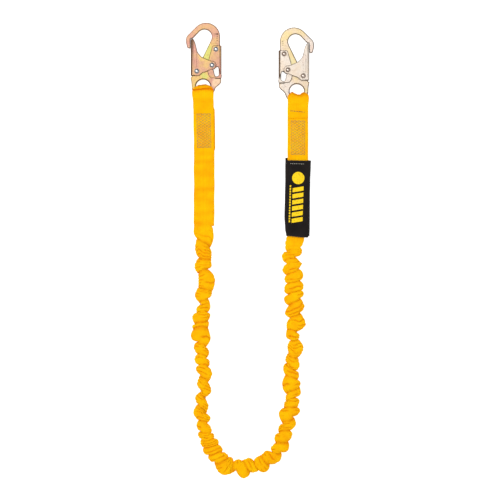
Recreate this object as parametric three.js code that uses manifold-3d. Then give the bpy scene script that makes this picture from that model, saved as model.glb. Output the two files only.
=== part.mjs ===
// A shock absorbing lanyard, laid out flat: a gathered tubular strap in a U with a double-locking
// snap hook sewn to each end. Millimetres, +Z up from the surface it lies on, +Y toward the hooks.

import * as THREE from 'three';
import { mergeVertices } from 'three/addons/utils/BufferGeometryUtils.js';
import Module from 'manifold-3d';

const wasm = await Module();
wasm.setup();

// ---------- driving dimensions ----------

const GAP = 0.3;

// Heights above the surface of the hooks' mid-plane and of the strap's centre line.
const HOOK_HEIGHT = 9.8;
const SAGGED = 4.5;
const BUNCHED = 9;

// Each hook: the middle of its eye's bottom bar, and which way its nose points.
const LEFT_HOOK = { x: -79.2, y: 259.8, turn: 0 };
const RIGHT_HOOK = { x: 79.2, y: 251.8, turn: Math.PI };
const FLEX_DROP = 12.5;
const FLEX_RADIUS = 4;

// Half thicknesses of the hook's layers, from the mid-plane out.
const BODY_HALF = 4.2;
const LEVER_INNER = 4.5;
const LEVER_OUTER = 6;
const GATE_INNER = 6.5;
const GATE_OUTER = 8;
const SHEET = 1.5;
const EASED = { body: 0.6, gate: 0.4, lever: 0.3 };

// Hook features, in the hook's own frame: +Y toward the bowl, +X toward the spine.
const EYE = { x: -0.4, y: 17.2, radius: 13 };
const RING = { x: 0, y: 15.8, radius: 20 };
const CROWN = { x: 4.5, y: 101, radius: 23.8 };
const BOWL = { x: 1.8, y: 100.6, radius: 12.6 };
const SEAT_ANGLE = 18;
const GATE_PIVOT = { x: -11.2, y: 42.3 };
const LEVER_PIVOT = { x: 21.3, y: 79.7 };
const LATCH_PIN = { x: 14.8, y: 52.5 };
const GATE_SWING = THREE.MathUtils.degToRad(22);
const LEVER_SWING = THREE.MathUtils.degToRad(9);
const GATE_BACK_X = -21.4;
const LEVER_BACK_X = 30.7;

const RIVET = { shaft: 2.5, head: 4, dome: 3.1, rim: 0.45, rise: 1.5 };
const PIN_HOLE = RIVET.shaft + GAP;
const SPRING = { wire: 0.35, rise: 1.2, turn: 430 };
const GATE_SPRING = { radius: 4.4, start: 180, firstLeg: 12, lastLeg: 5, height: 4.85 };
const LEVER_SPRING = { radius: 4, start: 40, firstLeg: 5.5, lastLeg: 3, height: 2.6 };
const SPRING_POCKET = { radius: 6.2, depth: 2.2 };
const RIB_RISE = 0.5;
const DIMPLE = { x: 23.6, y: 105.5, radius: 1.2, depth: 0.5 };

// The strap: widths across and thicknesses of its flat sewn ends and of its bunched middle.
const WEBBING = { width: 35.5, thickness: 8 };
const BUNCH = { width: 25, thickness: 18 };
const JACKET_HOLLOW = { across: 0.9, deep: 0.68 };
const LOOP_HALF = 8;
const LOOP_TOP = 27.5;
const TAIL = { thickness: 2.4, start: 7, end: 80 };
const BOX_STITCH = { width: 25.7, length: 58, start: 17, thread: 1.6, thickness: 0.6 };
const BAR_TACK = { width: 26, length: 1.8, thickness: 0.6, distance: 7 };
const CORE = { width: 9, thickness: 2.4 };
const ELASTIC = { width: 2.2, thickness: 2, offset: 6 };
const STRAP_STEPS = 42;

// Heights up each leg between which the flat strap bunches up.
const GATHERING = { leftFlat: 48, leftBunched: 0, rightFlat: -12, rightBunched: -52 };

// The label cover on the right leg, between these two heights up the leg.
const COVER = { x: 81, low: 19.6, high: 153.6, width: 42.5, half: 6.6, wall: 1.2 };
const COVER_LENGTH = COVER.high - COVER.low;
const LABEL_PACK = { width: 30, thickness: 0.7, bottom: 3.9, inset: 11 };
const COVER_STITCH = { width: 25, thickness: 0.4, length: 0.8, from: 7.6 };

// Under the sleeve, from the surface up: the overlap and the two closure strips, all as long as it.
const OVERLAP = { width: 24, thickness: 0.5, bottom: 0 };
const HOOK_STRIP = { width: 18, thickness: 0.5, bottom: 0.7 };
const LOOP_STRIP = { width: 18, thickness: 0.5, bottom: 1.4 };

// Centre line of the strap between the two flex lines: across, up the legs, height.
const ROUTE = [
  [LEFT_HOOK.x, LEFT_HOOK.y - FLEX_DROP, HOOK_HEIGHT],
  [-78.5, 213, 8.4],
  [-78, 163, 6.7],
  [-78, 118, 4.9],
  [-78, 83, SAGGED],
  [-78.5, 43, 5.2],
  [-80, 8, 8.6],
  [-79, -27, BUNCHED],
  [-76, -57, BUNCHED],
  [-79, -87, BUNCHED],
  [-82, -120, BUNCHED],
  [-84, -147, BUNCHED],
  [-81, -177, BUNCHED],
  [-78, -207, BUNCHED],
  [-78, -237, BUNCHED],
  [-83, -262, BUNCHED],
  [-83, -285, BUNCHED],
  [-78, -308, BUNCHED],
  [-70, -329, BUNCHED],
  [-56, -350, BUNCHED],
  [-36, -365, BUNCHED],
  [-10, -371, BUNCHED],
  [15, -366, BUNCHED],
  [36, -351, BUNCHED],
  [51, -330, BUNCHED],
  [60, -300, BUNCHED],
  [67, -270, BUNCHED],
  [70, -238, BUNCHED],
  [70, -205, BUNCHED],
  [73, -172, BUNCHED],
  [74, -140, BUNCHED],
  [76, -112, BUNCHED],
  [73, -80, BUNCHED],
  [72, -48, BUNCHED],
  [70, -22, BUNCHED],
  [75.5, -4, BUNCHED],
  [80.5, 20, BUNCHED],
  [81, 85, BUNCHED],
  [81.4, 160, BUNCHED],
  [81.4, RIGHT_HOOK.y - FLEX_DROP, HOOK_HEIGHT],
];

// ---------- materials ----------

function finish(color, roughness, metalness = 0) {
  return { color, roughness, metalness };
}

const CHROMATE = finish(0xd9a86c, 0.35, 0.9);
const PALE_CHROMATE = finish(0xe8d3a4, 0.35, 0.9);
const BRIGHT_STEEL = finish(0xc9cbce, 0.2, 1);
const SPRING_STEEL = finish(0x8d9095, 0.35, 1);
const YELLOW_WEBBING = finish(0xffb400, 0.85);
const DARK_THREAD = finish(0xa88a3a, 0.8);
const PALE_THREAD = finish(0xcfc9b8, 0.8);
const BLACK_FABRIC = finish(0x1e1b19, 0.9);
const WHITE_LABEL = finish(0xe9e8e2, 0.7);
const CORE_YARN = finish(0xe8e2cf, 0.8);
const ELASTIC_RUBBER = finish(0xd8d2c0, 0.7);

// ---------- shape helpers ----------

const corner = (x, y, round = 0) => ({ enter: [x, y], leave: [x, y], round });

// An arc from one angle to another in degrees, clockwise where the angle falls.
function arc(x, y, radius, from, to) {
  const at = (degrees) => {
    const angle = THREE.MathUtils.degToRad(degrees);
    return [x + radius * Math.cos(angle), y + radius * Math.sin(angle)];
  };
  return { enter: at(from), leave: at(to), centre: [x, y], radius, from, to };
}

function partWay([x, y], [towardX, towardY], distance) {
  const length = Math.hypot(towardX - x, towardY - y);
  const share = length > 0 ? distance / length : 0;
  return [x + (towardX - x) * share, y + (towardY - y) * share];
}

// A closed outline of corners, each rounded by a distance along its two sides, and arcs.
function outline(pieces) {
  const shape = new THREE.Shape();
  pieces.forEach((piece, i) => {
    const next = pieces[(i + 1) % pieces.length];
    const start = partWay(piece.enter, pieces.at(i - 1).leave, piece.round ?? 0);
    if (i === 0) {
      shape.moveTo(...start);
    } else {
      shape.lineTo(...start);
    }
    if (piece.radius) {
      const { degToRad } = THREE.MathUtils;
      const clockwise = piece.to < piece.from;
      shape.absarc(...piece.centre, piece.radius, degToRad(piece.from), degToRad(piece.to), clockwise);
    } else if (piece.round > 0) {
      shape.quadraticCurveTo(...piece.enter, ...partWay(piece.enter, next.enter, piece.round));
    }
  });
  return shape;
}

function rectangle(lowX, lowY, highX, highY, round = 0) {
  return outline([
    corner(lowX, lowY, round),
    corner(lowX, highY, round),
    corner(highX, highY, round),
    corner(highX, lowY, round),
  ]);
}

function disc(x, y, radius) {
  return new THREE.Shape().absarc(x, y, radius, 0, 2 * Math.PI);
}

// The path that a round pin of this radius sweeps between two points.
function slot(a, b, radius) {
  const along = THREE.MathUtils.radToDeg(Math.atan2(b.y - a.y, b.x - a.x));
  return outline([
    arc(a.x, a.y, radius, along - 90, along - 270),
    arc(b.x, b.y, radius, along - 270, along - 450),
  ]);
}

// An outline extruded from one height to another, with its edges optionally eased.
function plate(shape, low, high, ease = 0, curveSegments = 4) {
  const geometry = new THREE.ExtrudeGeometry(shape, {
    depth: high - low - 2 * ease,
    bevelEnabled: ease > 0,
    bevelThickness: ease,
    bevelSize: ease,
    bevelOffset: -ease,
    bevelSegments: 1,
    curveSegments,
  });
  geometry.translate(0, 0, low + ease);
  return geometry;
}

function solid(geometry) {
  const bare = geometry.clone();
  bare.deleteAttribute('normal');
  bare.deleteAttribute('uv');
  const merged = mergeVertices(bare, 1e-4);
  const mesh = new wasm.Mesh({
    numProp: 3,
    vertProperties: new Float32Array(merged.attributes.position.array),
    triVerts: new Uint32Array(merged.index.array),
  });
  return new wasm.Manifold(mesh);
}

function joined(first, ...others) {
  return others.reduce((whole, other) => whole.add(solid(other)), solid(first));
}

function cut(whole, ...tools) {
  return tools.reduce((rest, tool) => rest.subtract(solid(tool)), whole);
}

function geometryOf(whole) {
  const mesh = whole.getMesh();
  const geometry = new THREE.BufferGeometry();
  geometry.setAttribute('position', new THREE.BufferAttribute(new Float32Array(mesh.vertProperties), 3));
  geometry.setIndex(new THREE.BufferAttribute(new Uint32Array(mesh.triVerts), 1));
  geometry.computeVertexNormals();
  return geometry;
}

function piece(name, geometry, look) {
  const mesh = new THREE.Mesh(geometry, new THREE.MeshStandardMaterial(look));
  mesh.name = name;
  return mesh;
}

// Where a point ends up after turning clockwise about a pivot.
function turned(point, pivot, angle) {
  const x = point.x - pivot.x;
  const y = point.y - pivot.y;
  return {
    x: pivot.x + x * Math.cos(angle) + y * Math.sin(angle),
    y: pivot.y - x * Math.sin(angle) + y * Math.cos(angle),
  };
}

// ---------- snap hook ----------

const PIN_WHEN_OPEN = turned(LATCH_PIN, GATE_PIVOT, GATE_SWING);
const PIN_IN_LEVER = turned(PIN_WHEN_OPEN, LEVER_PIVOT, -LEVER_SWING);

function through(shape, curveSegments = 6) {
  return plate(shape, -GATE_OUTER - 2, GATE_OUTER + 2, 0, curveSegments);
}

// The forged plate: eye ring, neck, spine, bowl and nose, with a stepped seat for the gate's tip.
function hookBody() {
  const plateEdge = outline([
    corner(-25.6, 79.6, 3.2),
    corner(-29.9, 92, 4.2),
    corner(-29.2, 101, 4.2),
    arc(CROWN.x, CROWN.y, CROWN.radius, 138, 70),
    arc(CROWN.x, CROWN.y, CROWN.radius, 70, 0),
    corner(28.3, 77, 1.5),
    corner(20.6, 31, 1),
    corner(20.4, 28.3, 0.8),
    corner(30.2, 27.8, 1.4),
    corner(30.4, 22.4, 3.6),
    corner(19.8, 13.4, 3),
    arc(RING.x, RING.y, RING.radius, -15, -172),
    corner(-20.3, 24, 3),
    corner(-22, 31.6, 1.2),
    corner(-19, 33.6, 0.8),
    corner(-18.9, 43, 4),
    corner(-5.5, 56.5, 3),
    arc(BOWL.x, BOWL.y, BOWL.radius, -24, 90 - SEAT_ANGLE),
    arc(BOWL.x, BOWL.y, BOWL.radius, 90 + SEAT_ANGLE, 139),
    corner(-18.2, 97.9, 0.6),
    corner(-21.9, 97.7, 0.5),
    corner(-22.1, 84, 1.4),
  ]);
  const neckNotch = outline([
    corner(11.2, 56, 2.6),
    corner(18.6, 55.8, 2.6),
    corner(24.5, 52, 1),
    corner(33, 52),
    corner(33, 32.6),
    corner(18.8, 32.6, 2.5),
    corner(12.4, 38.6, 3),
  ]);
  const springPocket = outline([
    arc(LEVER_PIVOT.x, LEVER_PIVOT.y, SPRING_POCKET.radius, 300, 20),
    corner(33, 79),
    corner(33, 64),
  ]);
  const body = solid(plate(plateEdge, -BODY_HALF, BODY_HALF, EASED.body));
  return cut(
    body,
    through(disc(EYE.x, EYE.y, EYE.radius), 16),
    through(disc(GATE_PIVOT.x, GATE_PIVOT.y, PIN_HOLE)),
    through(disc(LEVER_PIVOT.x, LEVER_PIVOT.y, PIN_HOLE)),
    through(neckNotch),
    plate(springPocket, BODY_HALF - SPRING_POCKET.depth, BODY_HALF + 1),
    plate(disc(DIMPLE.x, DIMPLE.y, DIMPLE.radius), BODY_HALF - DIMPLE.depth, BODY_HALF + 1),
  );
}

// The gate: folded sheet round the nose side, with a lobe each side that carries the latch pin.
function gate() {
  const side = outline([
    corner(GATE_BACK_X, 97, 1.4),
    corner(-18.4, 96.6, 1.4),
    corner(-15.8, 91.5, 3),
    corner(-13, 83.5, 4),
    corner(-10.2, 74.5, 4),
    corner(-3, 66.2, 4),
    corner(7.4, 61.8, 3),
    arc(LATCH_PIN.x, LATCH_PIN.y, 7.1, 100, -98),
    corner(6.4, 42, 4),
    corner(-1.6, 39.6, 3),
    corner(-7.2, 34.4, 3),
    corner(GATE_BACK_X, 34.4, 1.4),
  ]);
  const hollow = rectangle(GATE_BACK_X + SHEET, 20, 40, 110);
  const rib = rectangle(-16, 48.5, -11, 78, 2.2);
  const ribHalf = GATE_OUTER + RIB_RISE;
  const folded = joined(
    plate(side, -GATE_OUTER, GATE_OUTER, EASED.gate),
    plate(rib, -ribHalf, ribHalf, EASED.gate),
  );
  return cut(
    folded,
    plate(hollow, -GATE_INNER, GATE_INNER),
    through(disc(GATE_PIVOT.x, GATE_PIVOT.y, PIN_HOLE)),
    through(disc(LATCH_PIN.x, LATCH_PIN.y, PIN_HOLE)),
  );
}

// The lock lever: folded sheet round the spine side, slotted for the latch pin.
function lockLever() {
  const side = outline([
    corner(15.6, 85.9, 3),
    corner(LEVER_BACK_X, 85.9, 2.6),
    corner(LEVER_BACK_X, 42, 3),
    corner(32, 36, 2.4),
    corner(30.4, 29.9, 2.4),
    corner(12, 30.9, 3),
    corner(8, 36.5, 3),
    corner(7.2, 43, 3),
    corner(8.4, 61.5, 8),
  ]);
  const teardrop = outline([
    corner(24.6, 50.6, 2),
    corner(27.4, 42, 3),
    corner(26.2, 34.6, 2.4),
    corner(20.6, 32.8, 2.2),
    corner(17.9, 40, 3),
    corner(18.6, 47, 2),
  ]);
  const hollow = rectangle(0, 20, LEVER_BACK_X - SHEET, 110);
  return cut(
    solid(plate(side, -LEVER_OUTER, LEVER_OUTER, EASED.lever)),
    plate(hollow, -LEVER_INNER, LEVER_INNER),
    through(disc(LEVER_PIVOT.x, LEVER_PIVOT.y, PIN_HOLE)),
    through(slot(LATCH_PIN, PIN_IN_LEVER, PIN_HOLE + 0.3)),
    through(teardrop),
  );
}

// A rivet along Z with a domed head at each end; the heads bear at this distance from its middle.
function rivet(reach) {
  const topHalf = [
    [RIVET.shaft, reach],
    [RIVET.head, reach],
    [RIVET.head, reach + RIVET.rim],
    [RIVET.dome, reach + RIVET.rim],
    [RIVET.dome * 0.6, reach + RIVET.rise * 0.86],
    [0, reach + RIVET.rise],
  ];
  const bottomHalf = topHalf.map(([radius, height]) => [radius, -height]).reverse();
  const profile = [...bottomHalf, ...topHalf].map(([radius, height]) => new THREE.Vector2(radius, height));
  const geometry = new THREE.LatheGeometry(profile, 16);
  geometry.rotateX(Math.PI / 2);
  return geometry;
}

// A torsion spring about the Z axis: a little over one rising turn, with a straight leg at each end.
function torsionSpring({ radius, start, firstLeg, lastLeg }) {
  const { degToRad } = THREE.MathUtils;
  const steps = 16;
  const points = [];
  for (let i = 0; i <= steps; i++) {
    const angle = degToRad(start + (SPRING.turn * i) / steps);
    const height = (SPRING.rise * i) / steps;
    points.push(new THREE.Vector3(radius * Math.cos(angle), radius * Math.sin(angle), height));
  }
  const leg = (from, heading, length) => {
    const along = new THREE.Vector3(Math.cos(degToRad(heading)), Math.sin(degToRad(heading)), 0);
    return from.clone().addScaledVector(along, length);
  };
  points.unshift(leg(points[0], start - 90, firstLeg));
  points.push(leg(points.at(-1), start + SPRING.turn + 90, lastLeg));
  return sweep(new Level(new THREE.CatmullRomCurve3(points)), disc(0, 0, SPRING.wire), 24, 3);
}

// ---------- sweeping along a level line ----------

// A stretch of a line whose section stays level: its width lies flat and its thickness stands up.
// The half width and half thickness may change along the stretch.
class Level extends THREE.Curve {
  constructor(line, from = 0, to = 1, halfSize = () => [1, 1]) {
    super();
    this.line = line;
    this.from = from;
    this.to = to;
    this.halfSize = halfSize;
  }

  getPoint(t) {
    return this.line.getPointAt(THREE.MathUtils.lerp(this.from, this.to, t));
  }

  computeFrenetFrames(steps) {
    const frames = { tangents: [], normals: [], binormals: [] };
    const up = new THREE.Vector3(0, 0, 1);
    for (let i = 0; i <= steps; i++) {
      const tangent = this.getTangentAt(i / steps);
      const across = new THREE.Vector3().crossVectors(up, tangent).normalize();
      const rise = new THREE.Vector3().crossVectors(tangent, across);
      const along = THREE.MathUtils.lerp(this.from, this.to, i / steps);
      const [halfWidth, halfThickness] = this.halfSize(along);
      frames.tangents.push(tangent);
      frames.normals.push(across.multiplyScalar(halfWidth));
      frames.binormals.push(rise.multiplyScalar(halfThickness));
    }
    return frames;
  }
}

function sweep(line, section, steps, curveSegments = 5) {
  return new THREE.ExtrudeGeometry(section, { extrudePath: line, steps, curveSegments });
}

// ---------- the strap ----------

const routePoints = ROUTE.map((point) => new THREE.Vector3(...point));
const route = new THREE.CatmullRomCurve3(routePoints, false, 'centripetal');
route.arcLengthDivisions = 800;
const ROUTE_LENGTH = route.getLength();

// How far along the strap a point on the left or right leg is, from its height up the leg.
function placeAt(up, leg) {
  let low = leg === 'left' ? 0 : 0.5;
  let high = low + 0.5;
  for (let i = 0; i < 40; i++) {
    const middle = (low + high) / 2;
    const above = route.getPointAt(middle).y > up;
    if (above === (leg === 'left')) {
      low = middle;
    } else {
      high = middle;
    }
  }
  return low;
}

// A superellipse, flat like webbing; with a wall it is hollow and open at both ends of the sweep.
function bandSection(halfWidth, halfThickness, sides = 12, hollow = null) {
  const ring = (x, y) => {
    const points = [];
    for (let i = 0; i < sides; i++) {
      const angle = (2 * Math.PI * i) / sides;
      const bulge = (value) => Math.sign(value) * Math.abs(value) ** 0.75;
      points.push(new THREE.Vector2(x * bulge(Math.cos(angle)), y * bulge(Math.sin(angle))));
    }
    return points;
  };
  const shape = new THREE.Shape(ring(halfWidth, halfThickness));
  if (hollow) {
    shape.holes.push(new THREE.Path(ring(halfWidth * hollow.across, halfThickness * hollow.deep)));
  }
  return shape;
}

// 0 on the flat sewn ends, 1 on the bunched middle.
const LEFT_GATHER = [placeAt(GATHERING.leftFlat, 'left'), placeAt(GATHERING.leftBunched, 'left')];
const RIGHT_GATHER = [placeAt(GATHERING.rightBunched, 'right'), placeAt(GATHERING.rightFlat, 'right')];

function bunching(along) {
  const { smoothstep } = THREE.MathUtils;
  return smoothstep(along, ...LEFT_GATHER) * (1 - smoothstep(along, ...RIGHT_GATHER));
}

function strapHalfSize(along) {
  const { lerp } = THREE.MathUtils;
  const share = bunching(along);
  return [
    lerp(WEBBING.width, BUNCH.width, share) / 2,
    lerp(WEBBING.thickness, BUNCH.thickness, share) / 2,
  ];
}

// The gathered tubular jacket, open at both sewn ends.
function outerJacket() {
  const inset = (FLEX_RADIUS + 0.4) / ROUTE_LENGTH;
  const section = bandSection(1, 1, 12, JACKET_HOLLOW);
  return sweep(new Level(route, inset, 1 - inset, strapHalfSize), section, STRAP_STEPS);
}

// Something that runs the whole way inside the jacket, at an offset across it.
function innerRun(width, thickness, offset) {
  const inset = (FLEX_RADIUS + 2) / ROUTE_LENGTH;
  const section = new THREE.Shape(
    bandSection(width / 2, thickness / 2, 8).getPoints().map((point) => point.setX(point.x + offset)),
  );
  return sweep(new Level(route, inset, 1 - inset), section, STRAP_STEPS);
}

function legLine(leg, start, end) {
  const near = start / ROUTE_LENGTH;
  const far = end / ROUTE_LENGTH;
  return leg === 'left' ? new Level(route, near, far) : new Level(route, 1 - far, 1 - near);
}

// The webbing's folded-back end, under the jacket, that the box stitch holds.
function tail(leg) {
  const drop = WEBBING.thickness / 2 + GAP + TAIL.thickness / 2;
  const section = bandSection(WEBBING.width / 2, TAIL.thickness / 2, 8);
  const geometry = sweep(legLine(leg, TAIL.start, TAIL.end), section, 3);
  geometry.translate(0, 0, -drop);
  return geometry;
}

// Rows of thread on the webbing's face: a box with a cross in it.
function boxStitch(leg) {
  const { width, length, start, thread, thickness } = BOX_STITCH;
  const diagonal = Math.atan2(width - thread, length - thread);
  const crossLength = Math.hypot(width - thread, length - thread);
  const bar = (barWidth, barLength, x, y, angle) => {
    const geometry = new THREE.BoxGeometry(barWidth, barLength, thickness);
    geometry.rotateZ(angle);
    geometry.translate(x, y, 0);
    return geometry;
  };
  const stitched = joined(
    bar(width, thread, 0, (length - thread) / 2, 0),
    bar(width, thread, 0, (thread - length) / 2, 0),
    bar(thread, length, (width - thread) / 2, 0, 0),
    bar(thread, length, (thread - width) / 2, 0, 0),
    bar(thread, crossLength, 0, 0, diagonal),
    bar(thread, crossLength, 0, 0, -diagonal),
  );
  return onFace(geometryOf(stitched), leg, start + length / 2, thickness / 2);
}

// Lays a flat piece on the webbing's face, this far from the flex line.
function onFace(geometry, leg, distance, lift) {
  const along = distance / ROUTE_LENGTH;
  const at = leg === 'left' ? along : 1 - along;
  const point = route.getPointAt(at);
  const heading = route.getTangentAt(at).multiplyScalar(leg === 'left' ? -1 : 1);
  const across = new THREE.Vector3(heading.y, -heading.x, 0).normalize();
  const out = new THREE.Vector3().crossVectors(across, heading);
  geometry.translate(0, 0, WEBBING.thickness / 2 + GAP + lift);
  geometry.applyMatrix4(new THREE.Matrix4().makeBasis(across, heading, out).setPosition(point));
  return geometry;
}

// The sewn end: webbing that runs up the hook's face, through its eye and down its back.
function endLoop(hook, webbingX) {
  const side = outline([
    arc(0, 0, FLEX_RADIUS, -90, -270),
    corner(5, FLEX_RADIUS, 1),
    corner(10, LOOP_HALF, 2),
    corner(LOOP_TOP, LOOP_HALF, 6),
    corner(LOOP_TOP, -LOOP_HALF, 6),
    corner(10, -LOOP_HALF, 2),
    corner(5, -FLEX_RADIUS, 1),
  ]);
  const band = plate(side, -WEBBING.width / 2, WEBBING.width / 2);
  const xAxis = new THREE.Vector3(1, 0, 0);
  const yAxis = new THREE.Vector3(0, 1, 0);
  const zAxis = new THREE.Vector3(0, 0, 1);
  band.applyMatrix4(new THREE.Matrix4().makeBasis(yAxis, zAxis, xAxis));
  band.translate(webbingX - hook.x, -FLEX_DROP, 0);
  const mirror = Math.cos(hook.turn);
  const ring = disc(RING.x, RING.y, RING.radius + 0.6);
  ring.holes.push(new THREE.Path().absarc(EYE.x * mirror, EYE.y, EYE.radius - 0.5, 0, 2 * Math.PI, true));
  return geometryOf(cut(solid(band), plate(ring, -LEVER_INNER, LEVER_INNER, 0, 16)));
}

// ---------- label cover ----------

// Stands a piece drawn in section on the cover's line, running down the leg from its upper edge.
function alongCover(section, height, from = 0, to = COVER_LENGTH) {
  const geometry = plate(section, from, to);
  geometry.rotateX(Math.PI / 2);
  geometry.translate(COVER.x, COVER.high, height);
  return geometry;
}

// The fabric sleeve round the strap: a flat tube.
function coverSleeve() {
  const { width, half, wall } = COVER;
  const outside = rectangle(-width / 2, -half, width / 2, half, 3.5);
  const inside = rectangle(-width / 2 + wall, -half + wall, width / 2 - wall, half - wall, 2.6);
  const sleeve = solid(alongCover(outside, BUNCHED));
  return geometryOf(cut(sleeve, alongCover(inside, BUNCHED, -1, COVER_LENGTH + 1)));
}

function coverStrip({ width, thickness, bottom }, from, to) {
  return alongCover(rectangle(-width / 2, 0, width / 2, thickness), bottom, from, to);
}

// The folded instruction labels that the sleeve keeps against the webbing's back.
function labelPack() {
  return coverStrip(LABEL_PACK, LABEL_PACK.inset, COVER_LENGTH - LABEL_PACK.inset);
}

function coverStitchRow() {
  const { from, length } = COVER_STITCH;
  const row = { ...COVER_STITCH, bottom: BUNCHED + COVER.half + GAP };
  return coverStrip(row, from, from + length);
}

// ---------- assembly ----------

function hookPieces(side, hook, plateLook, gateLook) {
  const group = new THREE.Group();
  group.position.set(hook.x, hook.y, HOOK_HEIGHT);
  group.rotation.y = hook.turn;
  const at = (mesh, place, z = 0) => {
    mesh.position.set(place.x, place.y, z);
    return mesh;
  };
  const gateSpring = piece(`${side}_gate_spring`, torsionSpring(GATE_SPRING), SPRING_STEEL);
  const leverSpring = piece(`${side}_lever_spring`, torsionSpring(LEVER_SPRING), SPRING_STEEL);
  group.add(
    piece(`${side}_hook_body`, geometryOf(hookBody()), plateLook),
    piece(`${side}_gate`, geometryOf(gate()), gateLook),
    piece(`${side}_lock_lever`, geometryOf(lockLever()), gateLook),
    at(piece(`${side}_gate_pivot_rivet`, rivet(GATE_OUTER + GAP), BRIGHT_STEEL), GATE_PIVOT),
    at(piece(`${side}_lever_pivot_rivet`, rivet(LEVER_OUTER + GAP), BRIGHT_STEEL), LEVER_PIVOT),
    at(piece(`${side}_latch_rivet`, rivet(GATE_OUTER + GAP), BRIGHT_STEEL), LATCH_PIN),
    at(gateSpring, GATE_PIVOT, GATE_SPRING.height),
    at(leverSpring, LEVER_PIVOT, LEVER_SPRING.height),
  );
  return group;
}

function endLoopPiece(side, hook, webbingX) {
  const mesh = piece(`${side}_end_loop`, endLoop(hook, webbingX), YELLOW_WEBBING);
  mesh.position.set(hook.x, hook.y, HOOK_HEIGHT);
  return mesh;
}

function barTack() {
  const { width, length, thickness, distance } = BAR_TACK;
  return onFace(new THREE.BoxGeometry(width, length, thickness), 'right', distance, thickness / 2);
}

const lanyard = new THREE.Group();
lanyard.add(
  hookPieces('left', LEFT_HOOK, CHROMATE, CHROMATE),
  hookPieces('right', RIGHT_HOOK, PALE_CHROMATE, PALE_CHROMATE),
  endLoopPiece('left', LEFT_HOOK, ROUTE[0][0]),
  endLoopPiece('right', RIGHT_HOOK, ROUTE.at(-1)[0]),
  piece('outer_jacket', outerJacket(), YELLOW_WEBBING),
  piece('shock_absorbing_core', innerRun(CORE.width, CORE.thickness, 0), CORE_YARN),
  piece('elastic_band_outer', innerRun(ELASTIC.width, ELASTIC.thickness, -ELASTIC.offset), ELASTIC_RUBBER),
  piece('elastic_band_inner', innerRun(ELASTIC.width, ELASTIC.thickness, ELASTIC.offset), ELASTIC_RUBBER),
  piece('left_webbing_tail', tail('left'), YELLOW_WEBBING),
  piece('right_webbing_tail', tail('right'), YELLOW_WEBBING),
  piece('left_box_stitch', boxStitch('left'), DARK_THREAD),
  piece('right_box_stitch', boxStitch('right'), DARK_THREAD),
  piece('right_bar_tack', barTack(), DARK_THREAD),
  piece('label_cover', coverSleeve(), BLACK_FABRIC),
  piece('cover_overlap', coverStrip(OVERLAP), BLACK_FABRIC),
  piece('cover_hook_strip', coverStrip(HOOK_STRIP), BLACK_FABRIC),
  piece('cover_loop_strip', coverStrip(LOOP_STRIP), BLACK_FABRIC),
  piece('label_pack', labelPack(), WHITE_LABEL),
  piece('cover_stitch_row', coverStitchRow(), PALE_THREAD),
);

export default lanyard;
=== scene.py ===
import math
import random

import bpy
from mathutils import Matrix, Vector, noise
from mathutils.geometry import tessellate_polygon


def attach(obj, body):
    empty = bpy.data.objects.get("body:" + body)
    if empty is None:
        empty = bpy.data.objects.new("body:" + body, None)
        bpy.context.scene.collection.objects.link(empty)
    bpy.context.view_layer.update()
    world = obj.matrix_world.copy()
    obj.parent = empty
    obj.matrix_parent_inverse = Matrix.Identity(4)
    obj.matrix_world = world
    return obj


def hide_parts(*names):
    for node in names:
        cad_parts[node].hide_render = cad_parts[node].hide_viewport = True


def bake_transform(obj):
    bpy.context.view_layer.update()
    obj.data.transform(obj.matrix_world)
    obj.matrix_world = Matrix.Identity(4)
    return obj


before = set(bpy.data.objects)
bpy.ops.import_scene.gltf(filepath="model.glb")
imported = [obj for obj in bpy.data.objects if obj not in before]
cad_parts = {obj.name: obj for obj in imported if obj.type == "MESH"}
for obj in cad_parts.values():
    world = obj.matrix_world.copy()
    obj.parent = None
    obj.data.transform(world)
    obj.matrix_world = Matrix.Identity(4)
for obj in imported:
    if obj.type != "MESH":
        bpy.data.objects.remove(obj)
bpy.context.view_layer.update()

MM = 0.001
UP = Vector((0, 0, 1))

# ---------- camera and lights ----------

VIEW_WIDTH = 0.85
VIEW_CENTRE = Vector((0, -0.0016, 0.0098))
CAMERA_DISTANCE = 5.0
SENSOR = 36


def add_camera():
    data = bpy.data.cameras.new("camera")
    data.sensor_width = SENSOR
    data.lens = SENSOR * CAMERA_DISTANCE / VIEW_WIDTH
    data.clip_end = 20
    camera = bpy.data.objects.new("camera", data)
    camera.location = VIEW_CENTRE + UP * CAMERA_DISTANCE
    bpy.context.collection.objects.link(camera)
    bpy.context.scene.camera = camera


def add_area_light(name, place, size, power):
    data = bpy.data.lights.new(name, "AREA")
    data.shape = "DISK"
    data.size = size
    data.energy = power
    light = bpy.data.objects.new(name, data)
    light.location = place
    light.rotation_mode = "QUATERNION"
    light.rotation_quaternion = (-Vector(place)).to_track_quat("-Z", "Y")
    bpy.context.collection.objects.link(light)


# ---------- node helpers ----------


def node(tree, kind, inputs=None, **settings):
    """A new node. Each input is a socket to link from, or a constant."""
    made = tree.nodes.new("ShaderNode" + kind)
    for name, value in settings.items():
        setattr(made, name, value)
    for name, value in (inputs or {}).items():
        if isinstance(value, bpy.types.NodeSocket):
            tree.links.new(value, made.inputs[name])
        else:
            made.inputs[name].default_value = value
    return made


def maths(tree, operation, a, b=0.0):
    return node(tree, "Math", {0: a, 1: b}, operation=operation).outputs[0]


def ramp(tree, factor, *stops):
    """Colours along a factor; each stop is (position, colour)."""
    made = node(tree, "ValToRGB", {"Fac": factor})
    elements = made.color_ramp.elements
    while len(elements) < len(stops):
        elements.new(0.5)
    for element, (position, colour) in zip(elements, stops):
        element.position = position
        element.color = (*colour, 1)
    return made.outputs["Color"]


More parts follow.
